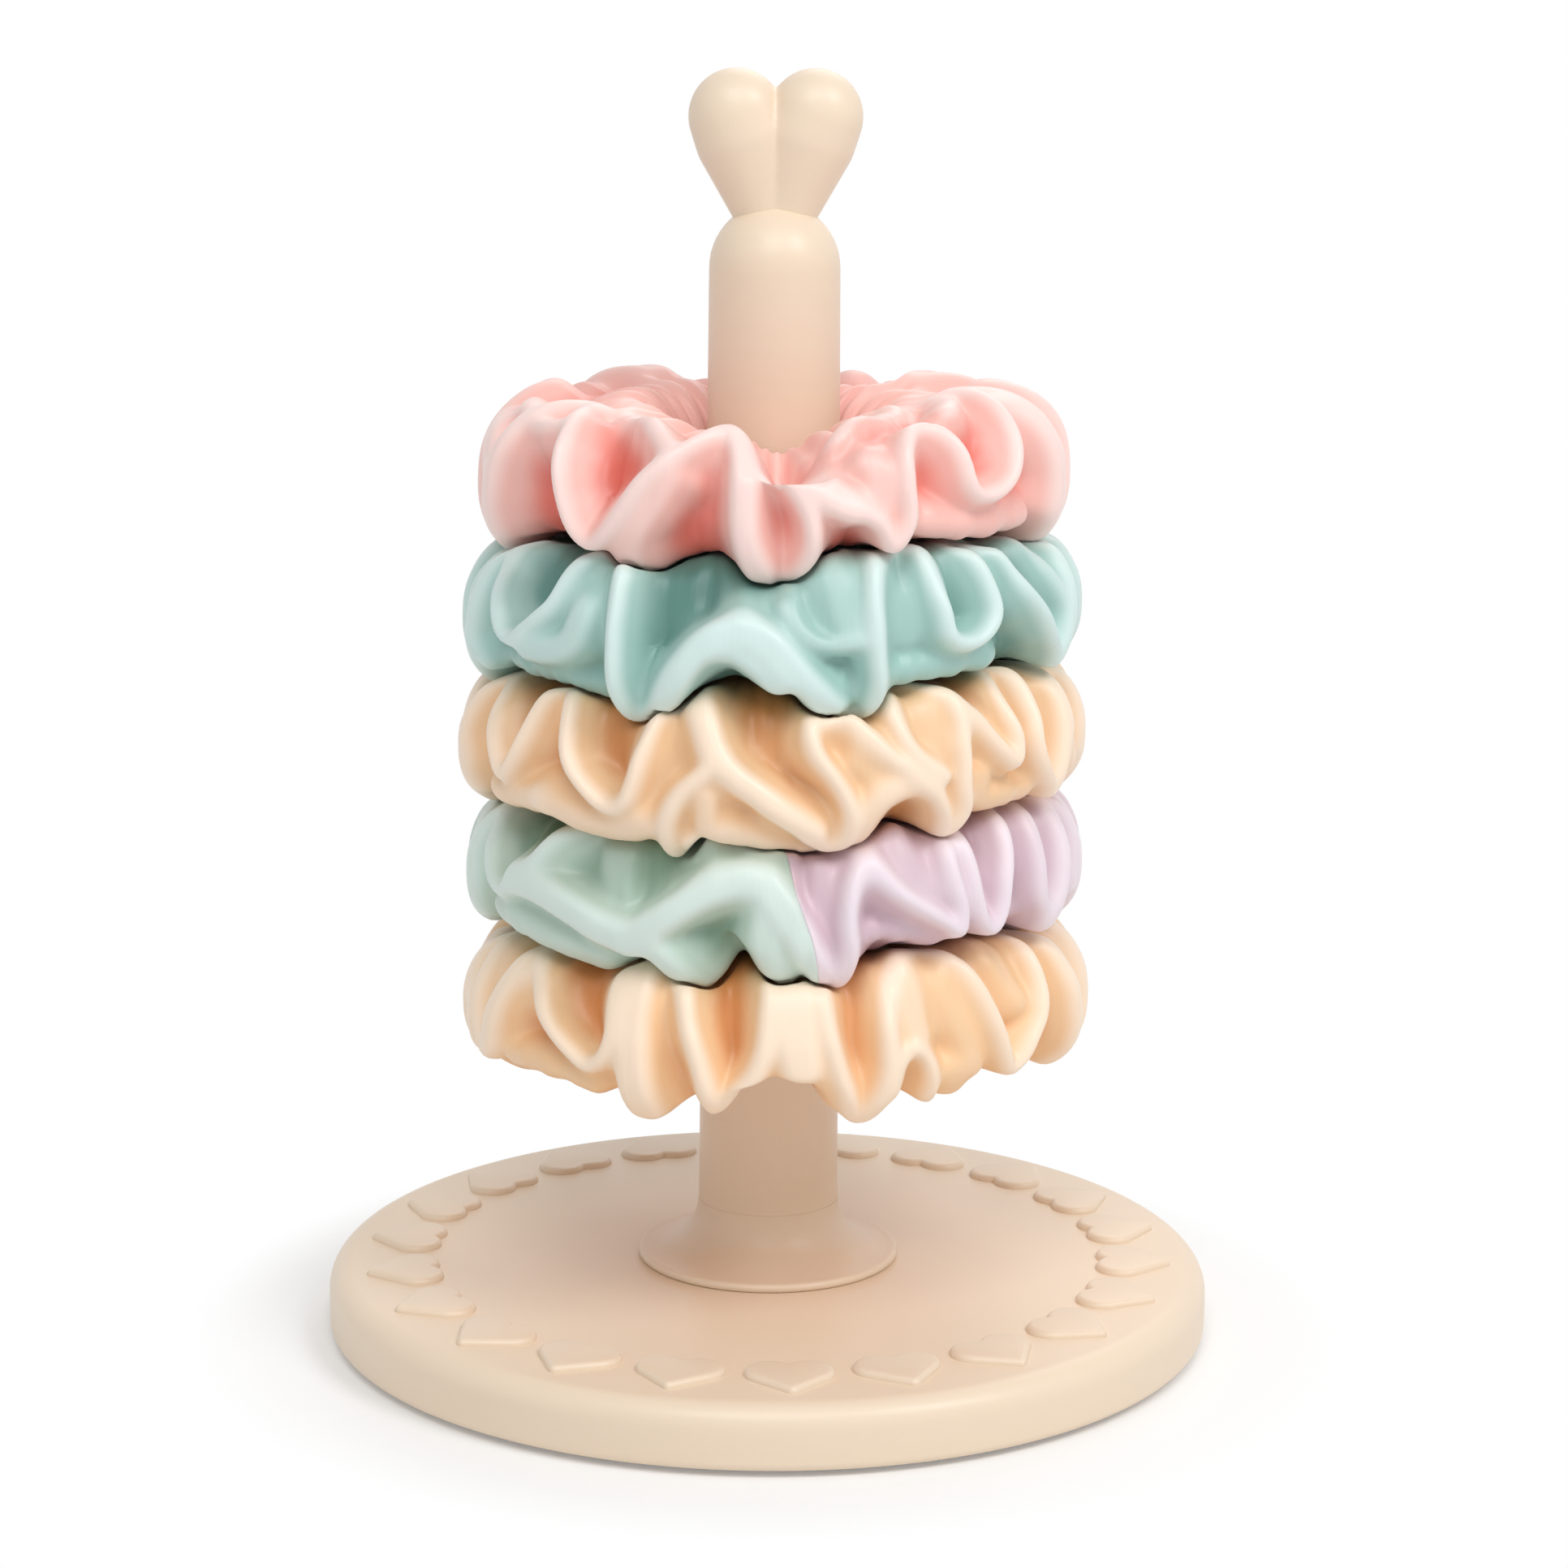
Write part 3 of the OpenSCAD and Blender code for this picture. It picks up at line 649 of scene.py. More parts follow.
STROKES = {
    "pink": [
        (*RIDGE, [
            (-62, 88), (-53, 68), (-48, 48), (-45.5, 22), (-43.5, 0), (-41, -20), (-38, -29),
            (-33.5, -20), (-29.5, -3), (-25, 18), (-20, 33), (-15, 46), (-11, 56), (-8, 58)]),
        (1.0, 1.8, 0.0, [(-8, 58), (-5.6, 42), (-5.4, 18), (-5.4, -9), (-4.6, -30), (-2.4, -48)]),
        (*RIDGE, [
            (-2.4, -48), (1.4, -56), (5.2, -48), (7.6, -30), (7, -8), (4.4, 10), (1, 26), (-1.5, 36)]),
        (*RIDGE, [
            (-1, 36), (2.4, 25), (6, 14), (9.5, 4), (13, -3), (18, -8), (21, -16), (24, -31),
            (26.5, -12), (26, 12), (26.5, 33), (30, 47), (35, 46), (38.5, 32), (40, 10), (42.5, 0),
            (47, -1), (52, 8), (55, 24), (57, 45), (60, 70), (66, 90)]),
        (*SOFT_RIDGE, [(-22, 42), (-27, 58), (-34, 74), (-45, 90), (-58, 104)]),
        (*SOFT_RIDGE, [(-84, 62), (-72, 56), (-60, 50), (-52, 52)]),
        (*SOFT_RIDGE, [(14, 60), (22, 74), (32, 88), (44, 104)]),
        (*SOFT_RIDGE, [(44, 62), (52, 78), (62, 96)]),
        (1.5, 6.0, 0.04, [(-90, 40), (-80, 28), (-74, 6), (-75, -28)]),
        (1.2, 4.0, 0.14, [(-21, 22), (-24, 5), (-27, -12), (-30, -32), (-31, -56)]),
        (1.2, 4.0, 0.10, [(8, 38), (9, 24), (11, 10), (15, 0)]),
        (1.0, 4.0, 0.16, [(19, 34), (21, 16), (21, -2)]),
        (*FACE, [(32, -20), (40, -26), (50, -28), (62, -28)]),
        (1.5, 6.0, 0.05, [(66, 58), (73, 34), (77, 8), (76, -22)]),
    ],
    "teal": [
        (*RIDGE, [
            (-70, 66), (-67, 45), (-63, 22), (-59.5, 3), (-55.5, 0), (-51, 11), (-46, 25), (-42, 42),
            (-38, 58), (-34.5, 64), (-31.5, 54), (-30, 36), (-29.6, 12), (-29.8, -12), (-29.8, -36),
            (-27.5, -54), (-24, -52)]),
        (1.2, 2.0, 0.0, [
            (-24, -52), (-21, -40), (-18.5, -24), (-15.5, -6), (-12, 9), (-8, 18), (-3.5, 18), (0, 8),
            (3, -6), (7, -24), (11.5, -42)]),
        (1.2, 2.6, 0.05, [(-10, 8), (-6, 5), (-2, -6), (1, -20)]),
        (*RIDGE, [
            (11, -40), (15, -54), (18.6, -48), (19.8, -28), (19.2, -6), (19, 14), (19.3, 36), (22, 53),
            (26.5, 61), (30.5, 57), (32.3, 41), (33, 24), (33.5, 9), (36, 1), (40, 1), (43.5, 9),
            (45.3, 22), (44.6, 37), (42.5, 51), (41, 62), (45, 74), (52, 80)]),
        (*RIDGE, [(46, 62), (52, 46), (56, 28), (60, 10), (64, -8), (70, -30)]),
        (*SOFT_RIDGE, [(64, 66), (68, 40), (72, 14), (76, -8), (82, -30)]),
        (*SOFT_RIDGE, [(-78, 62), (-81, 30), (-80, 0), (-74, -30)]),
        (*FACE, [(11.5, 58), (12.5, 38), (14, 18)]),
        (0.3, 1.8, 0.16, [(2, 34), (4.5, 20), (8, 9), (12, 5), (17, 8)]),
        (1.0, 4.0, 0.32, [(24, -26), (31, -24), (39, -22), (46, -20)]),
        (1.0, 4.0, 0.10, [(-52, -6), (-45, -4), (-40, 4), (-37.5, 24)]),
        (*SHADED_FACE, [(-66, -28), (-54, -34), (-44, -38), (-36, -44)]),
        (*SHADED_FACE, [(26, 30), (26.5, 8)]),
        (1.5, 6.0, 0.06, [(90, 44), (88, 16), (88, -10)]),
    ],
    "champagne": [
        (*RIDGE, [
            (-72, 66), (-66, 42), (-62, 18), (-58, -5), (-54, 8), (-51, 28), (-48.5, 48), (-45, 56),
            (-42, 42), (-40, 22), (-38, 8), (-34.5, -6), (-30.5, -16), (-27, -12), (-25, 4),
            (-23.5, 26), (-21.5, 46), (-18.5, 59), (-15.5, 56)]),
        (0.9, 2.0, 0.0, [
            (-15.5, 54), (-13, 40), (-10, 24), (-6, 9), (-1.5, -5), (3, -19), (7.5, -33)]),
        (*RIDGE, [
            (7.5, -33), (10.5, -45), (13.5, -42), (14.6, -26), (13.5, -9), (11, 8), (8.2, 23), (7.2, 34),
            (9.5, 43), (13.5, 41), (17.5, 32), (21.5, 20), (26, 7), (30, -8), (33, -26), (35.5, -46),
            (37.5, -28), (36.6, -8), (36.6, 8), (36.8, 24), (37.5, 37), (34, 52), (29, 66), (25, 68),
            (23, 54), (24, 36), (27, 18), (32, 2)]),
        (*RIDGE, [
            (37.5, 38), (42, 30), (46, 14), (49.5, 3), (50.5, 20), (50, 40), (51, 58), (54, 70),
            (58, 56), (58, 32), (57, 12), (60, -10), (66, -30)]),
        (*SOFT_RIDGE, [(70, 66), (71, 36), (73, 8), (77, -20)]),
        (0.4, 1.4, 0.02, [
            (-12, 12), (-15.5, 0), (-18, -15), (-19.5, -33), (-19, -54), (-16, -60), (-15.4, -44)]),
        (0.6, 2.4, 0.14, [(-11.5, -6), (-12, -22), (-12.5, -36)]),
        (1.2, 3.4, 0.12, [(-8, -36), (-3, -44), (3, -56), (8, -58)]),
        (0.8, 3.0, 0.10, [(15.8, -48), (17.5, -26), (20, -10), (24, -3), (29, -3)]),
        (1.2, 4.5, 0.12, [(-46, -20), (-38, -34), (-31, -38), (-25, -32)]),
        (1.2, 4.5, 0.16, [(-64, -26), (-56, -26), (-48, -22)]),
        (*SHADED_FACE, [(-20.5, 22), (-20, 2), (-23, -14)]),
        (*FACE, [(16, 20), (19, 8), (21, -6)]),
        (*FACE, [(30, 40), (32.5, 22)]),
        (*FACE, [(42, -6), (43, -26), (50, -30), (58, -30)]),
        (1.5, 6.0, 0.05, [(-90, 44), (-84, 22), (-80, 0), (-82, -26)]),
        (1.5, 6.0, 0.06, [(88, 44), (85, 18), (84, -8)]),
    ],
    "two_tone": [
        (*RIDGE, [
            (-76, 60), (-71, 34), (-66, 10), (-61, 3), (-56, 14), (-50, 32), (-44, 48), (-38, 62)]),
        (1.6, 2.4, 0.02, [(-56, 16), (-48, 12), (-40, 2), (-33, -9), (-27, -15)]),
        (1.2, 2.2, 0.0, [
            (-27, -15), (-22.5, -3), (-17, 12), (-12.5, 23), (-7, 29), (-2, 27), (1.5, 15), (3.8, -2),
            (6, -20), (9, -40)]),
        (*RIDGE, [
            (9, -42), (11, -54), (13.6, -42), (14.2, -22), (13.6, -3), (13.8, 13), (15, 27), (17.5, 33),
            (20.5, 27), (24.5, 14), (29, 2), (33, -8), (36, -16), (36, 2), (35, 18), (34.5, 34),
            (36.5, 46), (38.8, 32), (39.5, 10), (41.5, -12), (44.5, -20), (46.5, -5), (47.5, 14),
            (50, 34), (52, 54), (55, 68)]),
        (*SOFT_RIDGE, [(17.5, 33), (17, 48), (15, 62)]),
        (*SOFT_RIDGE, [(64, 62), (61, 40), (60, 16), (61, -10), (66, -34)]),
        (*SHADED_FACE, [(-34, 56), (-33, 36), (-31, 18)]),
        (1.2, 4.0, 0.12, [(-12, 54), (-6, 56), (-1, 50)]),
        (1.0, 2.6, 0.05, [(-23, -18), (-20, -32), (-17, -50), (-14.5, -58)]),
        (1.2, 3.0, 0.08, [(-1, 8), (-1.6, -14), (0, -36), (3, -58)]),
        (*SHADED_FACE, [(9.5, 36), (10, 12), (11, -10)]),
        (*SHADED_FACE, [(20, -16), (26, -20), (33, -28)]),
        (*FACE, [(24, 46), (27, 30), (31, 14)]),
        (1.5, 5.0, 0.18, [(-66, -18), (-56, -26), (-46, -34), (-36, -40)]),
        (*SHADED_FACE, [(48, -22), (54, -26)]),
        (1.5, 6.0, 0.05, [(-90, 44), (-84, 22), (-80, 2), (-82, -24)]),
        (1.5, 6.0, 0.06, [(88, 44), (82, 16), (80, -10)]),
    ],
    "peach": [
        (*RIDGE, [
            (-58, 62), (-53.5, 48), (-50, 34), (-45, 17), (-40, 3), (-35.5, -6), (-32, 2), (-30.5, 20),
            (-31, 40), (-29, 58)]),
        (1.6, 3.0, 0.02, [(-27.5, 60), (-27, 34), (-26.5, 10), (-26, -14), (-25, -40)]),
        (0.5, 1.5, 0.0, [
            (-20.5, 60), (-17.5, 42), (-15, 20), (-13, -5), (-12, -26), (-10.5, -42), (-8, -38),
            (-5.5, -18), (-3.2, -2), (-1.8, 15), (-1, 34), (0, 52)]),
        (1.8, 2.6, 0.02, [(3.5, 48), (3.5, 28), (4, 12), (4.5, 0)]),
        (0.4, 1.5, 0.0, [
            (8.5, 52), (9, 34), (10, 15), (11.4, -4), (13, -22), (14.5, -40), (17, -50), (19.5, -30),
            (20.6, -8), (20.6, 12), (20.8, 30), (23, 46), (28, 60)]),
        (*RIDGE, [
            (28, 60), (33, 62), (38, 48), (42, 30), (44, 12), (46, -8), (48, -24), (51, -18), (54, -4),
            (57, 10), (59, 28), (60, 46), (62, 66), (68, 80)]),
        (0.3, 1.4, 0.06, [(21.5, -24), (22.5, -4), (25, 7), (28, 0), (29.6, -18), (29.6, -36)]),
        (*SOFT_RIDGE, [(73, 66), (74, 34), (75, 4), (78, -26)]),
        (*SOFT_RIDGE, [(-56, 40), (-62, 32), (-66, 10), (-66, -14)]),
        (0.8, 3.0, 0.2, [(8, -12), (10.5, -26), (13, -40)]),
        (1.0, 3.6, 0.14, [(26, 44), (26, 26), (26.5, 18)]),
        (*FACE, [(33, 44), (36, 24), (38, 4), (40, -18)]),
        (*FACE, [(35, -20), (36, -38)]),
        (*FACE, [(48, 62), (51, 44), (53, 26)]),
        (*FACE, [(-60, -22), (-52, -20), (-44, -22), (-37, -28)]),
        (1.5, 6.0, 0.05, [(-90, 44), (-82, 22), (-80, 0), (-82, -22)]),
        (1.5, 6.0, 0.06, [(88, 44), (86, 16), (86, -10)]),
    ],
}

# %% [markdown]
# The photo shows nothing of the back, so each tie gets one plain ridge there. It runs from
# the right side to the left one, turn by turn, with a sunk face in the bay of each turn.

# %% Strokes round the back
BACK_RIDGE = (0.6, 2.2, 0.0)
BAY_LEAN = 2.5

BACKS = {
    "pink": [
        (66, 90), (82, -60), (98, 80), (114, -50), (130, 90), (146, -70), (160, 60), (174, -50),
        (188, 80), (205, -60), (222, 95), (238, -70), (256, 70), (278, -55), (298, 88)],
    "teal": [
        (70, -30), (84, 78), (96, -58), (110, 82), (124, -60), (138, 88), (152, -68), (167, 80),
        (184, -60), (200, 80), (217, -70), (234, 85), (251, -60), (264, 75), (276, -50), (290, 68)],
    "champagne": [
        (66, -30), (78, 80), (92, -60), (108, 85), (124, -65), (140, 80), (154, -50), (168, 55),
        (177, -40), (185, 80), (201, -65), (217, 90), (233, -60), (249, 75), (268, -55), (288, 66)],
    "two_tone": [
        (66, -34), (76, 60), (88, -45), (101, 76), (116, -60), (131, 82), (148, -62), (165, 60),
        (182, -60), (199, 80), (216, -65), (233, 85), (248, -60), (261, 74), (272, -40), (284, 60)],
    "peach": [
        (68, 80), (80, -50), (95, 80), (111, -60), (127, 85), (143, -60), (158, 78), (172, -20),
        (186, 80), (202, -60), (218, 85), (234, -65), (251, 80), (266, -50), (281, 62), (292, -20),
        (302, 62)],
}


def back_strokes(turns):
    """The ridge round the back, and a sunk face in each bay between its turns."""
    strokes = [(*BACK_RIDGE, turns)]
    for i, (angle, place) in enumerate(turns[1:-1]):
        side = 1 if place < 0 else -1
        lean = BAY_LEAN * math.sin(1.7 * i)
        bay = [(angle + lean, 60 * side), (angle, 35 * side), (angle - lean, 8 * side)]
        strokes.append((*FACE, bay))
    return strokes


for name, turns in BACKS.items():
    STROKES[name] += back_strokes(turns)

# %% [markdown]
# A few larger moves shape whole stretches of a ring. The pink tie opens at the front, so
# that the post shows in a notch, and its inner side lies lower than the front ridge. The
# peach tie is drawn up in the middle of its lower edge. Each move is an angle, a half
# breadth in degrees, a lift in millimetres, and the places between which it sets in.

# %% Larger moves
MOVES = {
    "pink": [
        (4, 9, -7.5, 12, 42), (-4, 48, -5.0, 62, 96), (-125, 45, 1.6, 20, 70), (62, 30, 1.0, 20, 70)],
    "peach": [(-1, 8, 7.0, -6, -40)],
    "teal": [(-9, 9, 3.0, -20, -60)],
    "two_tone": [(-7, 4, 4.0, -10, -50)],
    "champagne": [(-14, 2.5, 3.5, -30, -60)],
}

# %% [markdown]
# The strokes become smooth curves on the tube. All the sculpting is numpy on a regular
# grid, because a grid of rows and columns is easy to smooth and to seam.

# %% Curves and grids
CURVE_SPACING = 2.0


def curve_through(points):
    """A smooth curve through given points, the same as a Catmull-Rom spline."""
    p = np.array(points, float)
    p = np.vstack([2 * p[0] - p[1], p, 2 * p[-1] - p[-2]])
    out = []
    for i in range(1, len(p) - 2):
        steps = int(np.hypot(*(p[i + 1] - p[i])) / CURVE_SPACING) + 2
        for t in np.arange(steps) / steps:
            a, b, c, d = p[i - 1], p[i], p[i + 1], p[i + 2]
            square, cube = 2 * a - 5 * b + 4 * c - d, 3 * b - a - 3 * c + d
            out.append(0.5 * (2 * b + (c - a) * t + square * t**2 + cube * t**3))
    out.append(p[-2])
    return np.array(out)


def ease(value, low, high):
    t = np.clip((value - low) / (high - low), 0, 1)
    return t * t * (3 - 2 * t)


def soften_grid(field, rounds):
    """Evens a field out over its neighbours; both directions of the grid close on themselves."""
    for _ in range(rounds):
        near = np.roll(field, 1, 0) + np.roll(field, -1, 0)
        near = near + np.roll(field, 1, 1) + np.roll(field, -1, 1)
        field = field * 0.5 + near * 0.125
    return field


# %% [markdown]
# Satin that is gathered also has many small creases, which no stroke draws. They run round
# the tube, from the opening to the outside. Noise from a fixed seed is blurred far in that
# direction and little across it, and the blur is done through a Fourier transform, because
# it closes on itself both ways, as the tube does.

# %% Fine creases
CREASE_SEED = 11
CREASE_ACROSS = 2.2
CREASE_ALONG = 15


def fine_creases(seed):
    """Blurred noise for every column and row, at least -2 and at most 2."""
    noise = np.random.default_rng(seed).standard_normal((COLUMNS, ROWS))
    across = np.exp(-2 * (np.pi * CREASE_ACROSS * np.fft.fftfreq(COLUMNS)) ** 2)
    along = np.exp(-2 * (np.pi * CREASE_ALONG * np.fft.fftfreq(ROWS)) ** 2)
    field = np.fft.ifft2(np.fft.fft2(noise) * across[:, None] * along[None, :]).real
    return np.clip(field / field.std(), -2, 2)


# %% [markdown]
# Now the sculpting itself. Each point of the skin finds its nearest curve, and the depth
# follows that distance. Pleats at the opening, the fine creases and the seam of the
# two-tone tie are added to it. How far a point is sunk also sets its painted light: a
# painted highlight on the ridges and painted shade in the hollows and in the pleats at
# the opening, in calmer steps round the back, where only the one plain ridge is.

# %% Depth of the folds
ORDER = ["peach", "two_tone", "champagne", "teal", "pink"]
WINDOW_DEGREES = 18
FLANK = 3.4
BLEND = 10.0
SIDE_DEPTH = 11.5
LOW_DEPTH = 8.5
PLEATS = 34
PLEAT_DEPTH = 1.2
CREASE_DEPTH = 0.24
SEAM_ANGLE = 6
SEAM_DEPTH = 0.7
SEAM_BREADTH = 0.9
# Painted shade inside the opening, and round the back a calmer painted light with an even painted shade.
MOUTH_SHADE = 0.3
BACK_START, BACK_FULL = 75, 110
BACK_CALM = 0.35
BACK_SHADE = 0.13


def sunk_depth(tie, angles, places):
    """The depth below the full tube and the painted light share, 0 for painted highlight and 1 for
    painted shade.
    """
    full = tie.skin(angles[:, None], places[None, :])
    nearness = np.full(full.shape[:2], math.exp(-BLEND))
    for breadth, crest, level, points in STROKES[tie.name]:
        line = curve_through(points)
        knots = tie.skin(line[:, 0], line[:, 1])
        for column, angle in enumerate(angles):
            near = np.abs((line[:, 0] - angle + 180) % 360 - 180) < WINDOW_DEGREES
            if not near.any():
                continue
            gap = np.linalg.norm(full[column][:, None, :] - knots[near][None], axis=2).min(axis=1)
            gap = np.maximum(gap - breadth, 0)
            drop = (np.sqrt(gap**2 + crest**2) - crest) / FLANK
            nearness[column] += np.exp(-BLEND * (1 - (1 - level) * np.exp(-drop)))
    share = soften_grid(np.clip(-np.log(nearness) / BLEND, 0, 1), 2)
    far = np.abs(places)
    fade = np.where(places > 0, 1 - 0.92 * ease(places, 78, 125), 1 - 0.95 * ease(far, 95, 165))
    tall = np.sin(np.radians(places)) ** 2
    most = SIDE_DEPTH * (1 - tall) + np.where(places > 0, tie.top_depth, LOW_DEPTH) * tall
    wander = 3 * np.sin(np.radians(angles * 3)) + 1.6 * np.sin(np.radians(angles * 7 + 40))
    pleat = 0.5 + 0.5 * np.cos(np.radians(angles * PLEATS) + wander)
    depth = share * (most * fade)[None, :]
    depth += PLEAT_DEPTH * pleat[:, None] * (ease(far, 80, 115) * (1 - ease(far, 140, 175)))[None, :]
    crease = fine_creases(CREASE_SEED + ORDER.index(tie.name))
    depth += CREASE_DEPTH * crease * (0.2 + ease(share, 0.08, 0.4)) * (1 - ease(far, 120, 160))[None, :]
    if tie.name == "two_tone":
        for seam in (SEAM_ANGLE, SEAM_ANGLE - 180):
            away = (angles - seam + 180) % 360 - 180
            groove = np.exp(-((away / SEAM_BREADTH) ** 2))
            depth += SEAM_DEPTH * groove[:, None] * (1 - ease(far, 100, 130))[None, :]
    # Painted shade inside the opening, darker where a pleat sinks in.
    mouth_shade = ease(far, 85, 135) * MOUTH_SHADE
    tone = np.maximum(share * fade, mouth_shade[None, :] * (0.6 + 0.4 * pleat[:, None]))
    # Round the back the painted light is calmer and gets an even painted shade.
    back = ease(np.abs(angles), BACK_START, BACK_FULL)[:, None]
    return depth, tone * (1 - BACK_CALM * back) + BACK_SHADE * back


# %% [markdown]
# Each tie has an outer radius, a height of its middle, a shift to the side, half its
# thickness and a slope to the front. The numbers are millimetres and degrees, set by
# laying the render over the photo.

# %% Sculpt the ties
TIES = {
    "peach": Tie("peach", 52.2, 57.0, 1.0, 13.4, 1.0),
    "two_tone": Tie("two_tone", 51.1, 80.3, 0.6, 13.4),
    "champagne": Tie("champagne", 51.7, 101.6, 0.0, 13.4),
    "teal": Tie("teal", 50.8, 122.2, 0.0, 13.4),
    "pink": Tie("pink", 48.4, 144.6, 0.0, 14.0, top_depth=7.0),
}
angles = np.arange(COLUMNS) * 360 / COLUMNS - 180
places = np.arange(ROWS) * 360 / ROWS - 180


def lift_of(moves, angles, places):
    """How far the larger moves lift each point of a ring."""
    lift = np.zeros((len(angles), len(places)))
    for middle, breadth, height, start, full in moves:
        side = np.sign(full)
        away = np.abs((angles - middle + 180) % 360 - 180)
        over = np.exp(-((away / breadth) ** 2))
        along = ease(places * side, start * side, full * side) * (1 - ease(places * side, 115, 165))
        lift += height * over[:, None] * along[None, :]
    return lift


skins, hollows = {}, {}
for name in ORDER:
    depth, share = sunk_depth(TIES[name], angles, places)
    skins[name] = TIES[name].skin(angles[:, None], places[None, :], depth)
    skins[name][..., 2] += lift_of(MOVES[name], angles, places)
    hollows[name] = share
    print(name, "skin", skins[name].shape, "mean depth", round(float(depth.mean()), 2), "mm")

# %% [markdown]
# The ties are pushed down on each other, so the folds of neighbours fill each other's
# hollows and flatten where they meet. First the gap between two ties is shared out: the
# lower one swells up and the upper one sags. Then, where one would still reach into the
# other, both give way to the surface half way between, with a hair of room. Radii are
# counted in cells, so that two rings with different folds can be compared.

# %% Ties that press on each other
TIE_GAP = 0.5
CELL = 0.5
RADIAL = np.arange(10, 54, CELL)
MOST_SWELL = 4.0
MOST_SAG = 2.0
SWELL_SHARE = 0.75
SWELL_SOFTEN = 12
SIDE_CALM = 0.75


def radial_cell(skin):
    reach = np.hypot(skin[..., 0], skin[..., 1])
    return np.clip(((reach - RADIAL[0]) / CELL).round().astype(int), 0, len(RADIAL) - 1)


def profile(skin, rows, keep):
    """The tie's top or bottom as a height for each radius, column by column."""
    cells = radial_cell(skin)
    out = np.empty((COLUMNS, len(RADIAL)))
    for column in range(COLUMNS):
        line = np.full(len(RADIAL), np.nan)
        for cell, height in zip(cells[column, rows], skin[column, rows, 2]):
            line[cell] = height if np.isnan(line[cell]) else keep(line[cell], height)
        known = ~np.isnan(line)
        out[column] = np.interp(RADIAL, RADIAL[known], line[known], left=np.nan, right=np.nan)
    return out


def between(value, start, full, fade, end):
    """Rises from 0 to 1 between start and full, and falls back between fade and end."""
    return ease(value, start, full) * (1 - ease(value, fade, end))


top_rows = np.where(places >= 0)[0]
low_rows = np.where(places <= 0)[0]
swell_weight = between(places, 22, 50, 110, 150)
sag_weight = between(-places, 30, 60, 110, 150)
front_share = 1 - SIDE_CALM * np.sin(np.radians(angles)) ** 4
for lower, upper in zip(ORDER[:-1], ORDER[1:]):
    room = profile(skins[upper], low_rows, min) - profile(skins[lower], top_rows, max) - TIE_GAP
    room = np.nan_to_num(np.maximum(room, 0))
    for name, weight, part, most in (
        (lower, swell_weight, SWELL_SHARE, MOST_SWELL),
        (upper, -sag_weight, 1 - SWELL_SHARE, MOST_SAG),
    ):
        free = np.take_along_axis(room, radial_cell(skins[name]), axis=1)
        move = np.minimum(free * part, most) * weight[None, :] * front_share[:, None]
        skins[name][..., 2] += soften_grid(move, SWELL_SOFTEN)
    ceiling = profile(skins[lower], top_rows, max)
    ground = profile(skins[upper], low_rows, min)
    meet = (ceiling + ground) / 2
    meet[ceiling < ground + TIE_GAP] = np.nan
    for name, rows, sign in ((lower, top_rows, -1), (upper, low_rows, 1)):
        limit = np.take_along_axis(meet, radial_cell(skins[name]), axis=1) + sign * TIE_GAP / 2
        z = skins[name][..., 2]
        over = ~np.isnan(limit) & ((z - limit) * sign < 0)
        over[:, np.setdiff1d(np.arange(ROWS), rows)] = False
        z[over] = limit[over]
for name in ORDER:
    skins[name] = soften_grid(skins[name], 2)
print("pressed", len(ORDER) - 1, "pairs of ties")

# %% [markdown]
# The last softening lets a few folds cross into the next tie again. So the two meeting
# sides are compared once more, each widened by its neighbouring cells, and wherever less
# than a small gap is left, both give way by half. A few rounds of that clear them.

# %% Clear what still crosses
CLEAR_GAP = 0.2
CLEAR_ROUNDS = 5


def spread(field, keep):
    """The highest or lowest of a field over each point and its neighbours."""
    for axis in (0, 1):
        field = keep(keep(np.roll(field, 1, axis), field), np.roll(field, -1, axis))
    return field


for _ in range(CLEAR_ROUNDS):
    for lower, upper in zip(ORDER[:-1], ORDER[1:]):
        ceiling = spread(profile(skins[lower], top_rows, max), np.fmax)
        ground = spread(profile(skins[upper], low_rows, min), np.fmin)
        over = np.nan_to_num(np.maximum(ceiling - ground + CLEAR_GAP, 0))
        for name, rows, sign in ((lower, top_rows, -1), (upper, low_rows, 1)):
            move = np.zeros((COLUMNS, ROWS))
            move[:, rows] = np.take_along_axis(over, radial_cell(skins[name]), axis=1)[:, rows]
            skins[name][..., 2] += sign * soften_grid(move / 2, 1)
    print("most overlap left", round(float(over.max()), 2), "mm at the top tie")

# %% [markdown]
# Satin is smooth, with a soft sheen along the threads. Its colour has painted light: a
# painted highlight on the ridges and painted shade in the hollows, strong where light
# bounces from cloth to cloth. The depth of each point is kept as an attribute, and the
# material turns it into that painted light. The threads are a wave pattern on the piece's
# own UV map, so that they follow the tube.

# %% Satin
CLOUD_NOISE = (60, 2)
CLOUD_CHANGE = 0.16
# Painted light: the painted highlight colour Light on the ridges gives way to the cloth's Face colour,
# then to the painted shade colour of the hollows.
PAINTED_LIGHT_STEPS = (("Face", 0.0, 0.28), ("PaintedShade", 0.3, 0.8))
THREAD_HEIGHT = 0.0002

satin_weave_and_painted_light, group_in, group_out = new_group(
    "satin_weave_and_painted_light",
    [
        ("Light", COLOUR, (0.9, 0.9, 0.9, 1)),
        ("Face", COLOUR, (0.7, 0.7, 0.7, 1)),
        ("PaintedShade", COLOUR, (0.5, 0.5, 0.5, 1)),
        ("Roughness", FLOAT, 0.45),
    ],
    [("Color", COLOUR), ("Roughness", FLOAT), ("Normal", VECTOR)],
)
nodes, links = satin_weave_and_painted_light.nodes, satin_weave_and_painted_light.links
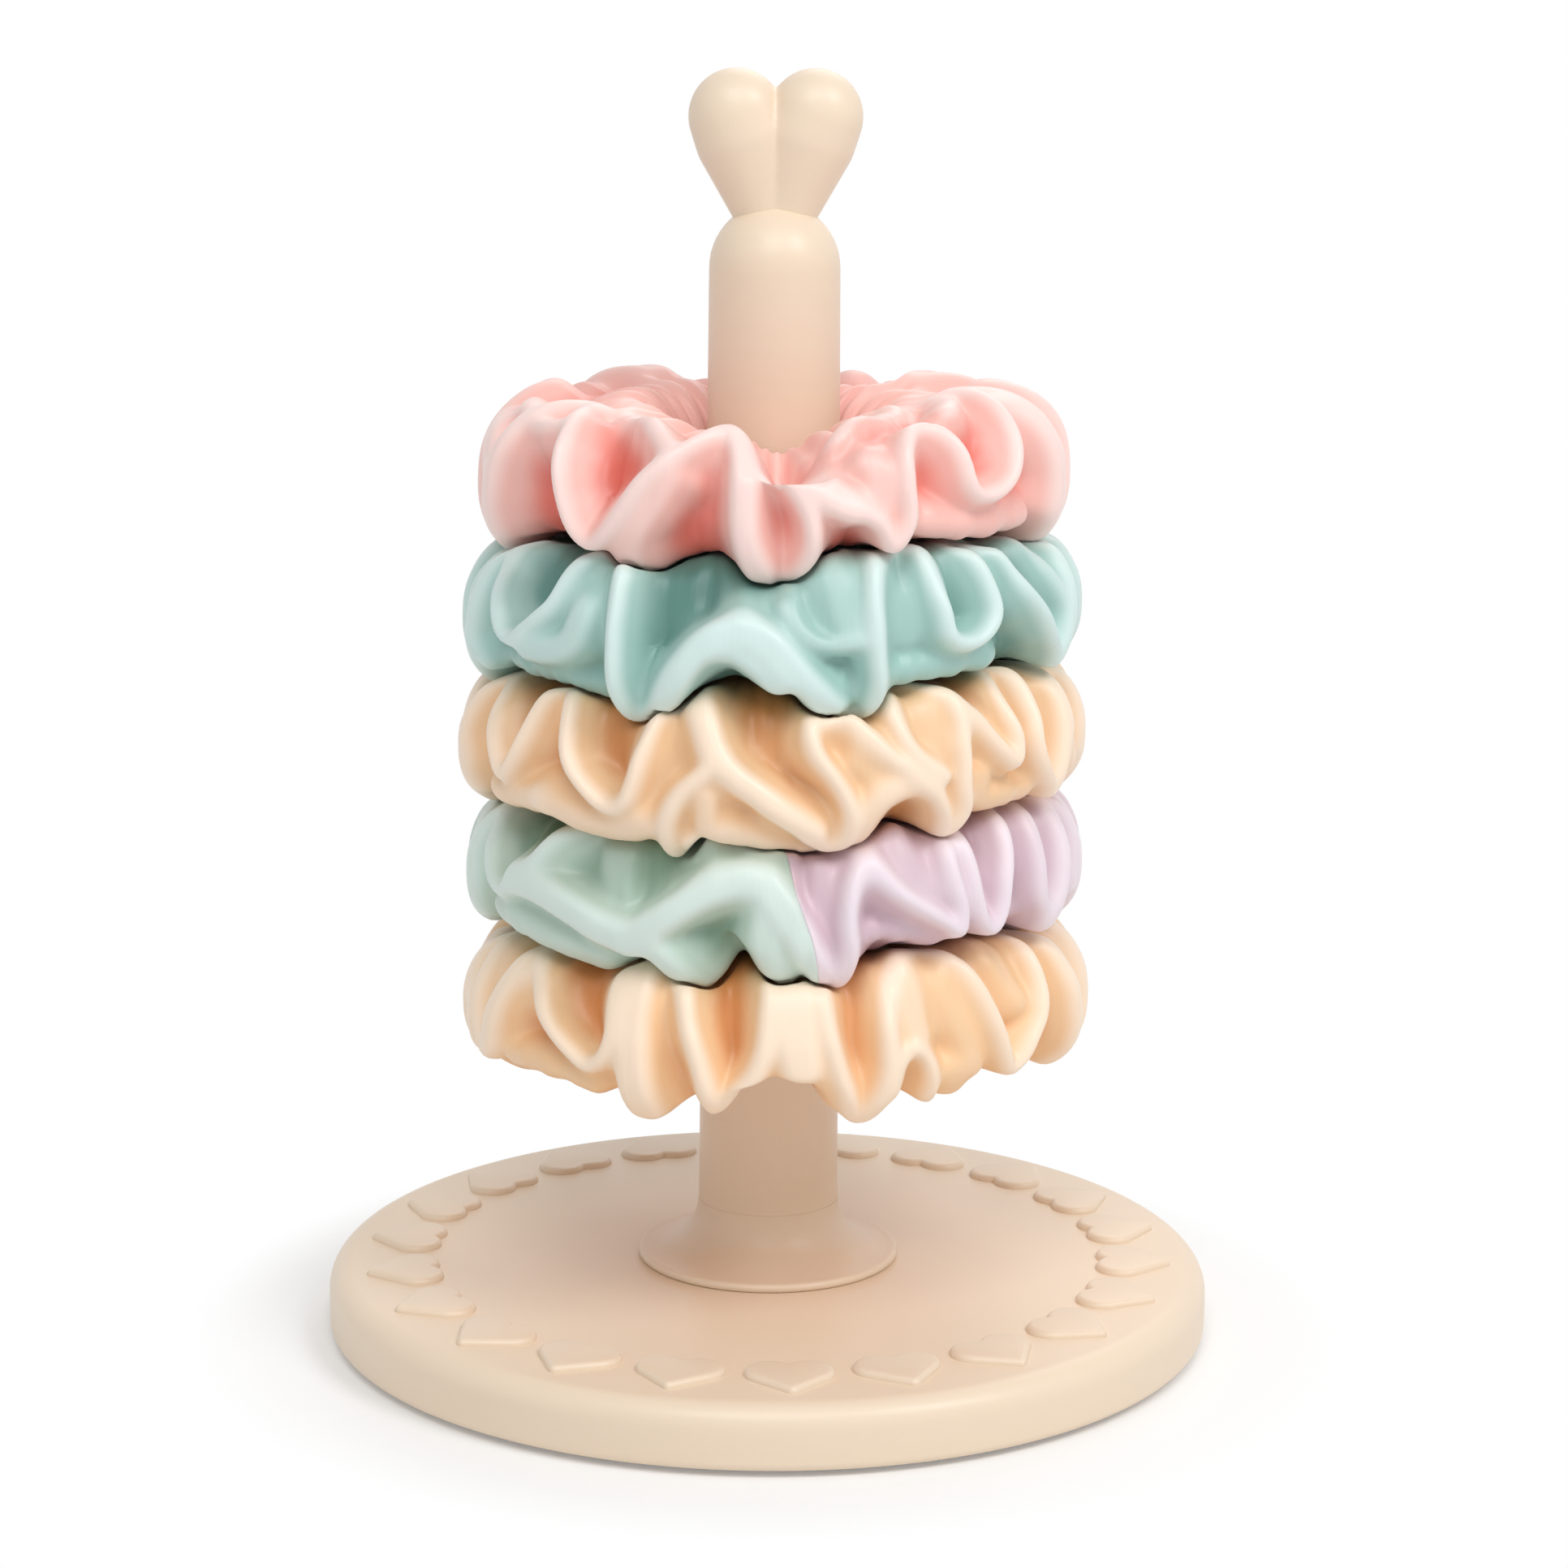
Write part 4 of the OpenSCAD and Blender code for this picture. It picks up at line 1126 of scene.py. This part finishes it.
# The painted light share of each point, 0 for painted highlight and 1 for painted shade.
sunk = nodes.new("ShaderNodeAttribute")
sunk.attribute_name = "hollow"
place = nodes.new("ShaderNodeTexCoord")
cloud = noise_node(nodes, links, place.outputs["Object"], *CLOUD_NOISE)
drift = around_middle(nodes, links, cloud, 0, CLOUD_CHANGE)
painted_light_share = math_node(nodes, links, "ADD", drift, sunk.outputs["Fac"])
shade = group_in.outputs["Light"]
for colour, start, full in PAINTED_LIGHT_STEPS:
    step = nodes.new("ShaderNodeMapRange")
    step.interpolation_type = "SMOOTHSTEP"
    dial(step, From_Min=start, From_Max=full)
    links.new(painted_light_share, step.inputs["Value"])
    tint = nodes.new("ShaderNodeMix")
    tint.data_type = "RGBA"
    links.new(step.outputs["Result"], tint.inputs["Factor"])
    links.new(shade, tint.inputs["A"])
    links.new(group_in.outputs[colour], tint.inputs["B"])
    shade = tint.outputs["Result"]
links.new(shade, group_out.inputs["Color"])
weave = nodes.new("ShaderNodeTexWave")
weave.wave_type = "BANDS"
weave.bands_direction = "X"
dial(weave, Scale=260, Distortion=1.5, Detail=2)
links.new(place.outputs["UV"], weave.inputs["Vector"])
links.new(group_in.outputs["Roughness"], group_out.inputs["Roughness"])
thread_bump = dial(nodes.new("ShaderNodeBump"), Strength=0.05, Distance=THREAD_HEIGHT)
links.new(weave.outputs["Fac"], thread_bump.inputs["Height"])
links.new(thread_bump.outputs["Normal"], group_out.inputs["Normal"])

# Each satin: a painted highlight colour for the ridges, the cloth's colour for the faces, a painted
# shade colour for the hollows.
SATINS = {
    "peach_satin": (rgb(251, 228, 204), rgb(243, 201, 156), rgb(216, 138, 76)),
    "mint_satin": (rgb(214, 230, 223), rgb(186, 208, 194), rgb(108, 142, 116)),
    "lilac_satin": (rgb(237, 223, 231), rgb(213, 188, 199), rgb(168, 126, 138)),
    "champagne_satin": (rgb(251, 228, 205), rgb(238, 197, 154), rgb(202, 132, 72)),
    "teal_satin": (rgb(212, 233, 229), rgb(162, 199, 191), rgb(84, 134, 124)),
    "pink_satin": (rgb(252, 223, 216), rgb(246, 190, 180), rgb(226, 104, 88)),
}
satin_materials = {
    name: finish_material(
        name,
        satin_weave_and_painted_light,
        {"Light": light, "Face": face, "PaintedShade": painted_shade_colour, "Roughness": 0.4},
        Sheen_Weight=0.15,
        Sheen_Roughness=0.35,
        Specular_IOR_Level=0.5,
    )
    for name, (light, face, painted_shade_colour) in SATINS.items()
}

# %% [markdown]
# The grids now become meshes. A whole ring closes on itself. The two-tone tie is sewn from
# two halves, so each half takes the columns between the seams, and gets a cap of triangles
# at both ends, so that it is a closed piece.

# %% Covers of the ties
COLUMN_STEP = 0.5 * MM
ROW_STEP = 0.65 * MM


def cloth_piece(name, skin, hollow, columns, closed):
    """A closed tube of cloth from some columns of the grid, in metres, faces outwards."""
    ring = skin[columns] * MM
    count = len(columns)
    vertices = ring.reshape(-1, 3)
    shares = hollow[columns].reshape(-1)
    faces = []
    for c in range(count if closed else count - 1):
        n = (c + 1) % count
        for r in range(ROWS):
            s = (r + 1) % ROWS
            faces.append((c * ROWS + r, n * ROWS + r, n * ROWS + s, c * ROWS + s))
    if not closed:
        ends = ring[[0, -1]].mean(axis=1)
        first, last = len(vertices), len(vertices) + 1
        vertices = np.vstack([vertices, ends])
        # The two cap centres get full painted shade.
        shares = np.concatenate([shares, [1, 1]])
        tail = (count - 1) * ROWS
        for r in range(ROWS):
            s = (r + 1) % ROWS
            faces.append((first, r, s))
            faces.append((last, tail + s, tail + r))
    mesh = bpy.data.meshes.new(name)
    mesh.from_pydata(vertices.tolist(), [], faces)
    mesh.update()
    # Each point keeps its painted light share: 0 for painted highlight, 1 for painted shade.
    depth = mesh.attributes.new("hollow", "FLOAT", "POINT")
    depth.data.foreach_set("value", shares.astype(np.float32))
    uv = mesh.uv_layers.new(name="cloth")
    corner = np.empty(len(mesh.loops), np.int32)
    mesh.loops.foreach_get("vertex_index", corner)
    threads = np.stack([corner // ROWS * COLUMN_STEP, corner % ROWS * ROW_STEP], 1)
    uv.data.foreach_set("uv", threads.astype(np.float32).ravel())
    mesh.polygons.foreach_set("use_smooth", np.ones(len(faces), bool))
    piece = bpy.data.objects.new(name, mesh)
    bpy.context.scene.collection.objects.link(piece)
    return piece


# %% [markdown]
# The front seam of the two-tone tie doesn't run straight down: in the photo it follows the
# fold beside it. The columns near it are shifted a little, more or less from row to row.

# %% Seam and pieces
SEAM_LEAN = [(-180, 0), (-60, 3.5), (-10, 0.5), (20, -2), (50, -4), (90, -4), (180, 0)]
LEAN_REACH = 14


def lean_seam(field):
    """Shifts the columns near the front seam by a lean in degrees for each row."""
    lean = np.interp(places, *zip(*SEAM_LEAN))
    share = np.exp(-(((angles - SEAM_ANGLE) / LEAN_REACH) ** 2))
    out = np.empty_like(field)
    for row in range(ROWS):
        out[:, row] = np.interp(angles + lean[row] * share, angles, field[:, row], period=360)
    return out


skins["two_tone"] = np.stack([lean_seam(skins["two_tone"][..., k]) for k in range(3)], axis=2)
hollows["two_tone"] = lean_seam(hollows["two_tone"])
seam_column = int(round((SEAM_ANGLE + 180) / 360 * COLUMNS))
half_round = COLUMNS // 2
every = np.arange(COLUMNS)
left = np.arange(seam_column - half_round, seam_column + 1) % COLUMNS
right = np.arange(seam_column, seam_column + half_round + 1) % COLUMNS
PIECES = [
    ("peach_cloth", "peach", every, "peach_cover", "peach_satin"),
    ("mint_cloth", "two_tone", left, "mint_half", "mint_satin"),
    ("lilac_cloth", "two_tone", right, "lilac_half", "lilac_satin"),
    ("champagne_cloth", "champagne", every, "champagne_cover", "champagne_satin"),
    ("teal_cloth", "teal", every, "teal_cover", "teal_satin"),
    ("pink_cloth", "pink", every, "pink_cover", "pink_satin"),
]
for name, tie, columns, node, slot in PIECES:
    piece = cloth_piece(name, skins[tie], hollows[tie], columns, closed=columns is every)
    piece.data.materials.append(satin_materials[slot])
    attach(piece, f"{tie}_tie")
    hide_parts(node)
    print(name, len(piece.data.polygons), "faces")

# %% [markdown]
# A round braided elastic lies in each tie, close to the opening. It is a torus drawn out
# to the oval of the opening, with every other ring of points a little thicker, and it
# slopes with its tie.

# %% Elastics
ELASTIC_RADIUS = 2 * MM
ELASTIC_RIBS = 72
ELASTIC_SIDES = 14
RIB_SHARE = 0.05


def elastic_ring(name, node, body):
    low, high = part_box(node)
    middle = (low + high) / 2
    half_x = (high.x - low.x) / 2 - ELASTIC_RADIUS
    half_y = (high.y - low.y) / 2 - ELASTIC_RADIUS
    bpy.ops.mesh.primitive_torus_add(
        major_segments=2 * ELASTIC_RIBS,
        minor_segments=ELASTIC_SIDES,
        major_radius=half_x,
        minor_radius=ELASTIC_RADIUS,
    )
    ring = bpy.context.active_object
    slope = math.tan(math.radians(TILT_RIGHT))
    for vertex in ring.data.vertices:
        x, y, z = vertex.co
        turn = math.atan2(y, x)
        out = math.hypot(x, y) - half_x
        thick = 1 - RIB_SHARE * (round(turn / math.pi * ELASTIC_RIBS) % 2)
        oval = 1 / math.hypot(math.cos(turn) / half_x, math.sin(turn) / half_y)
        reach = oval + out * thick
        x, y = reach * math.cos(turn), reach * math.sin(turn)
        vertex.co = (middle.x + x, middle.y + y, middle.z + z * thick + x * slope)
    ring = settle(ring, name)
    smooth(ring, 60)
    ring.data.materials.append(elastic_braid)
    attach(ring, body)
    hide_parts(node)


for tie in ORDER:
    elastic_ring(f"{tie}_elastic_ring", f"{tie}_elastic", f"{tie}_tie")
print("elastics", len(ORDER))
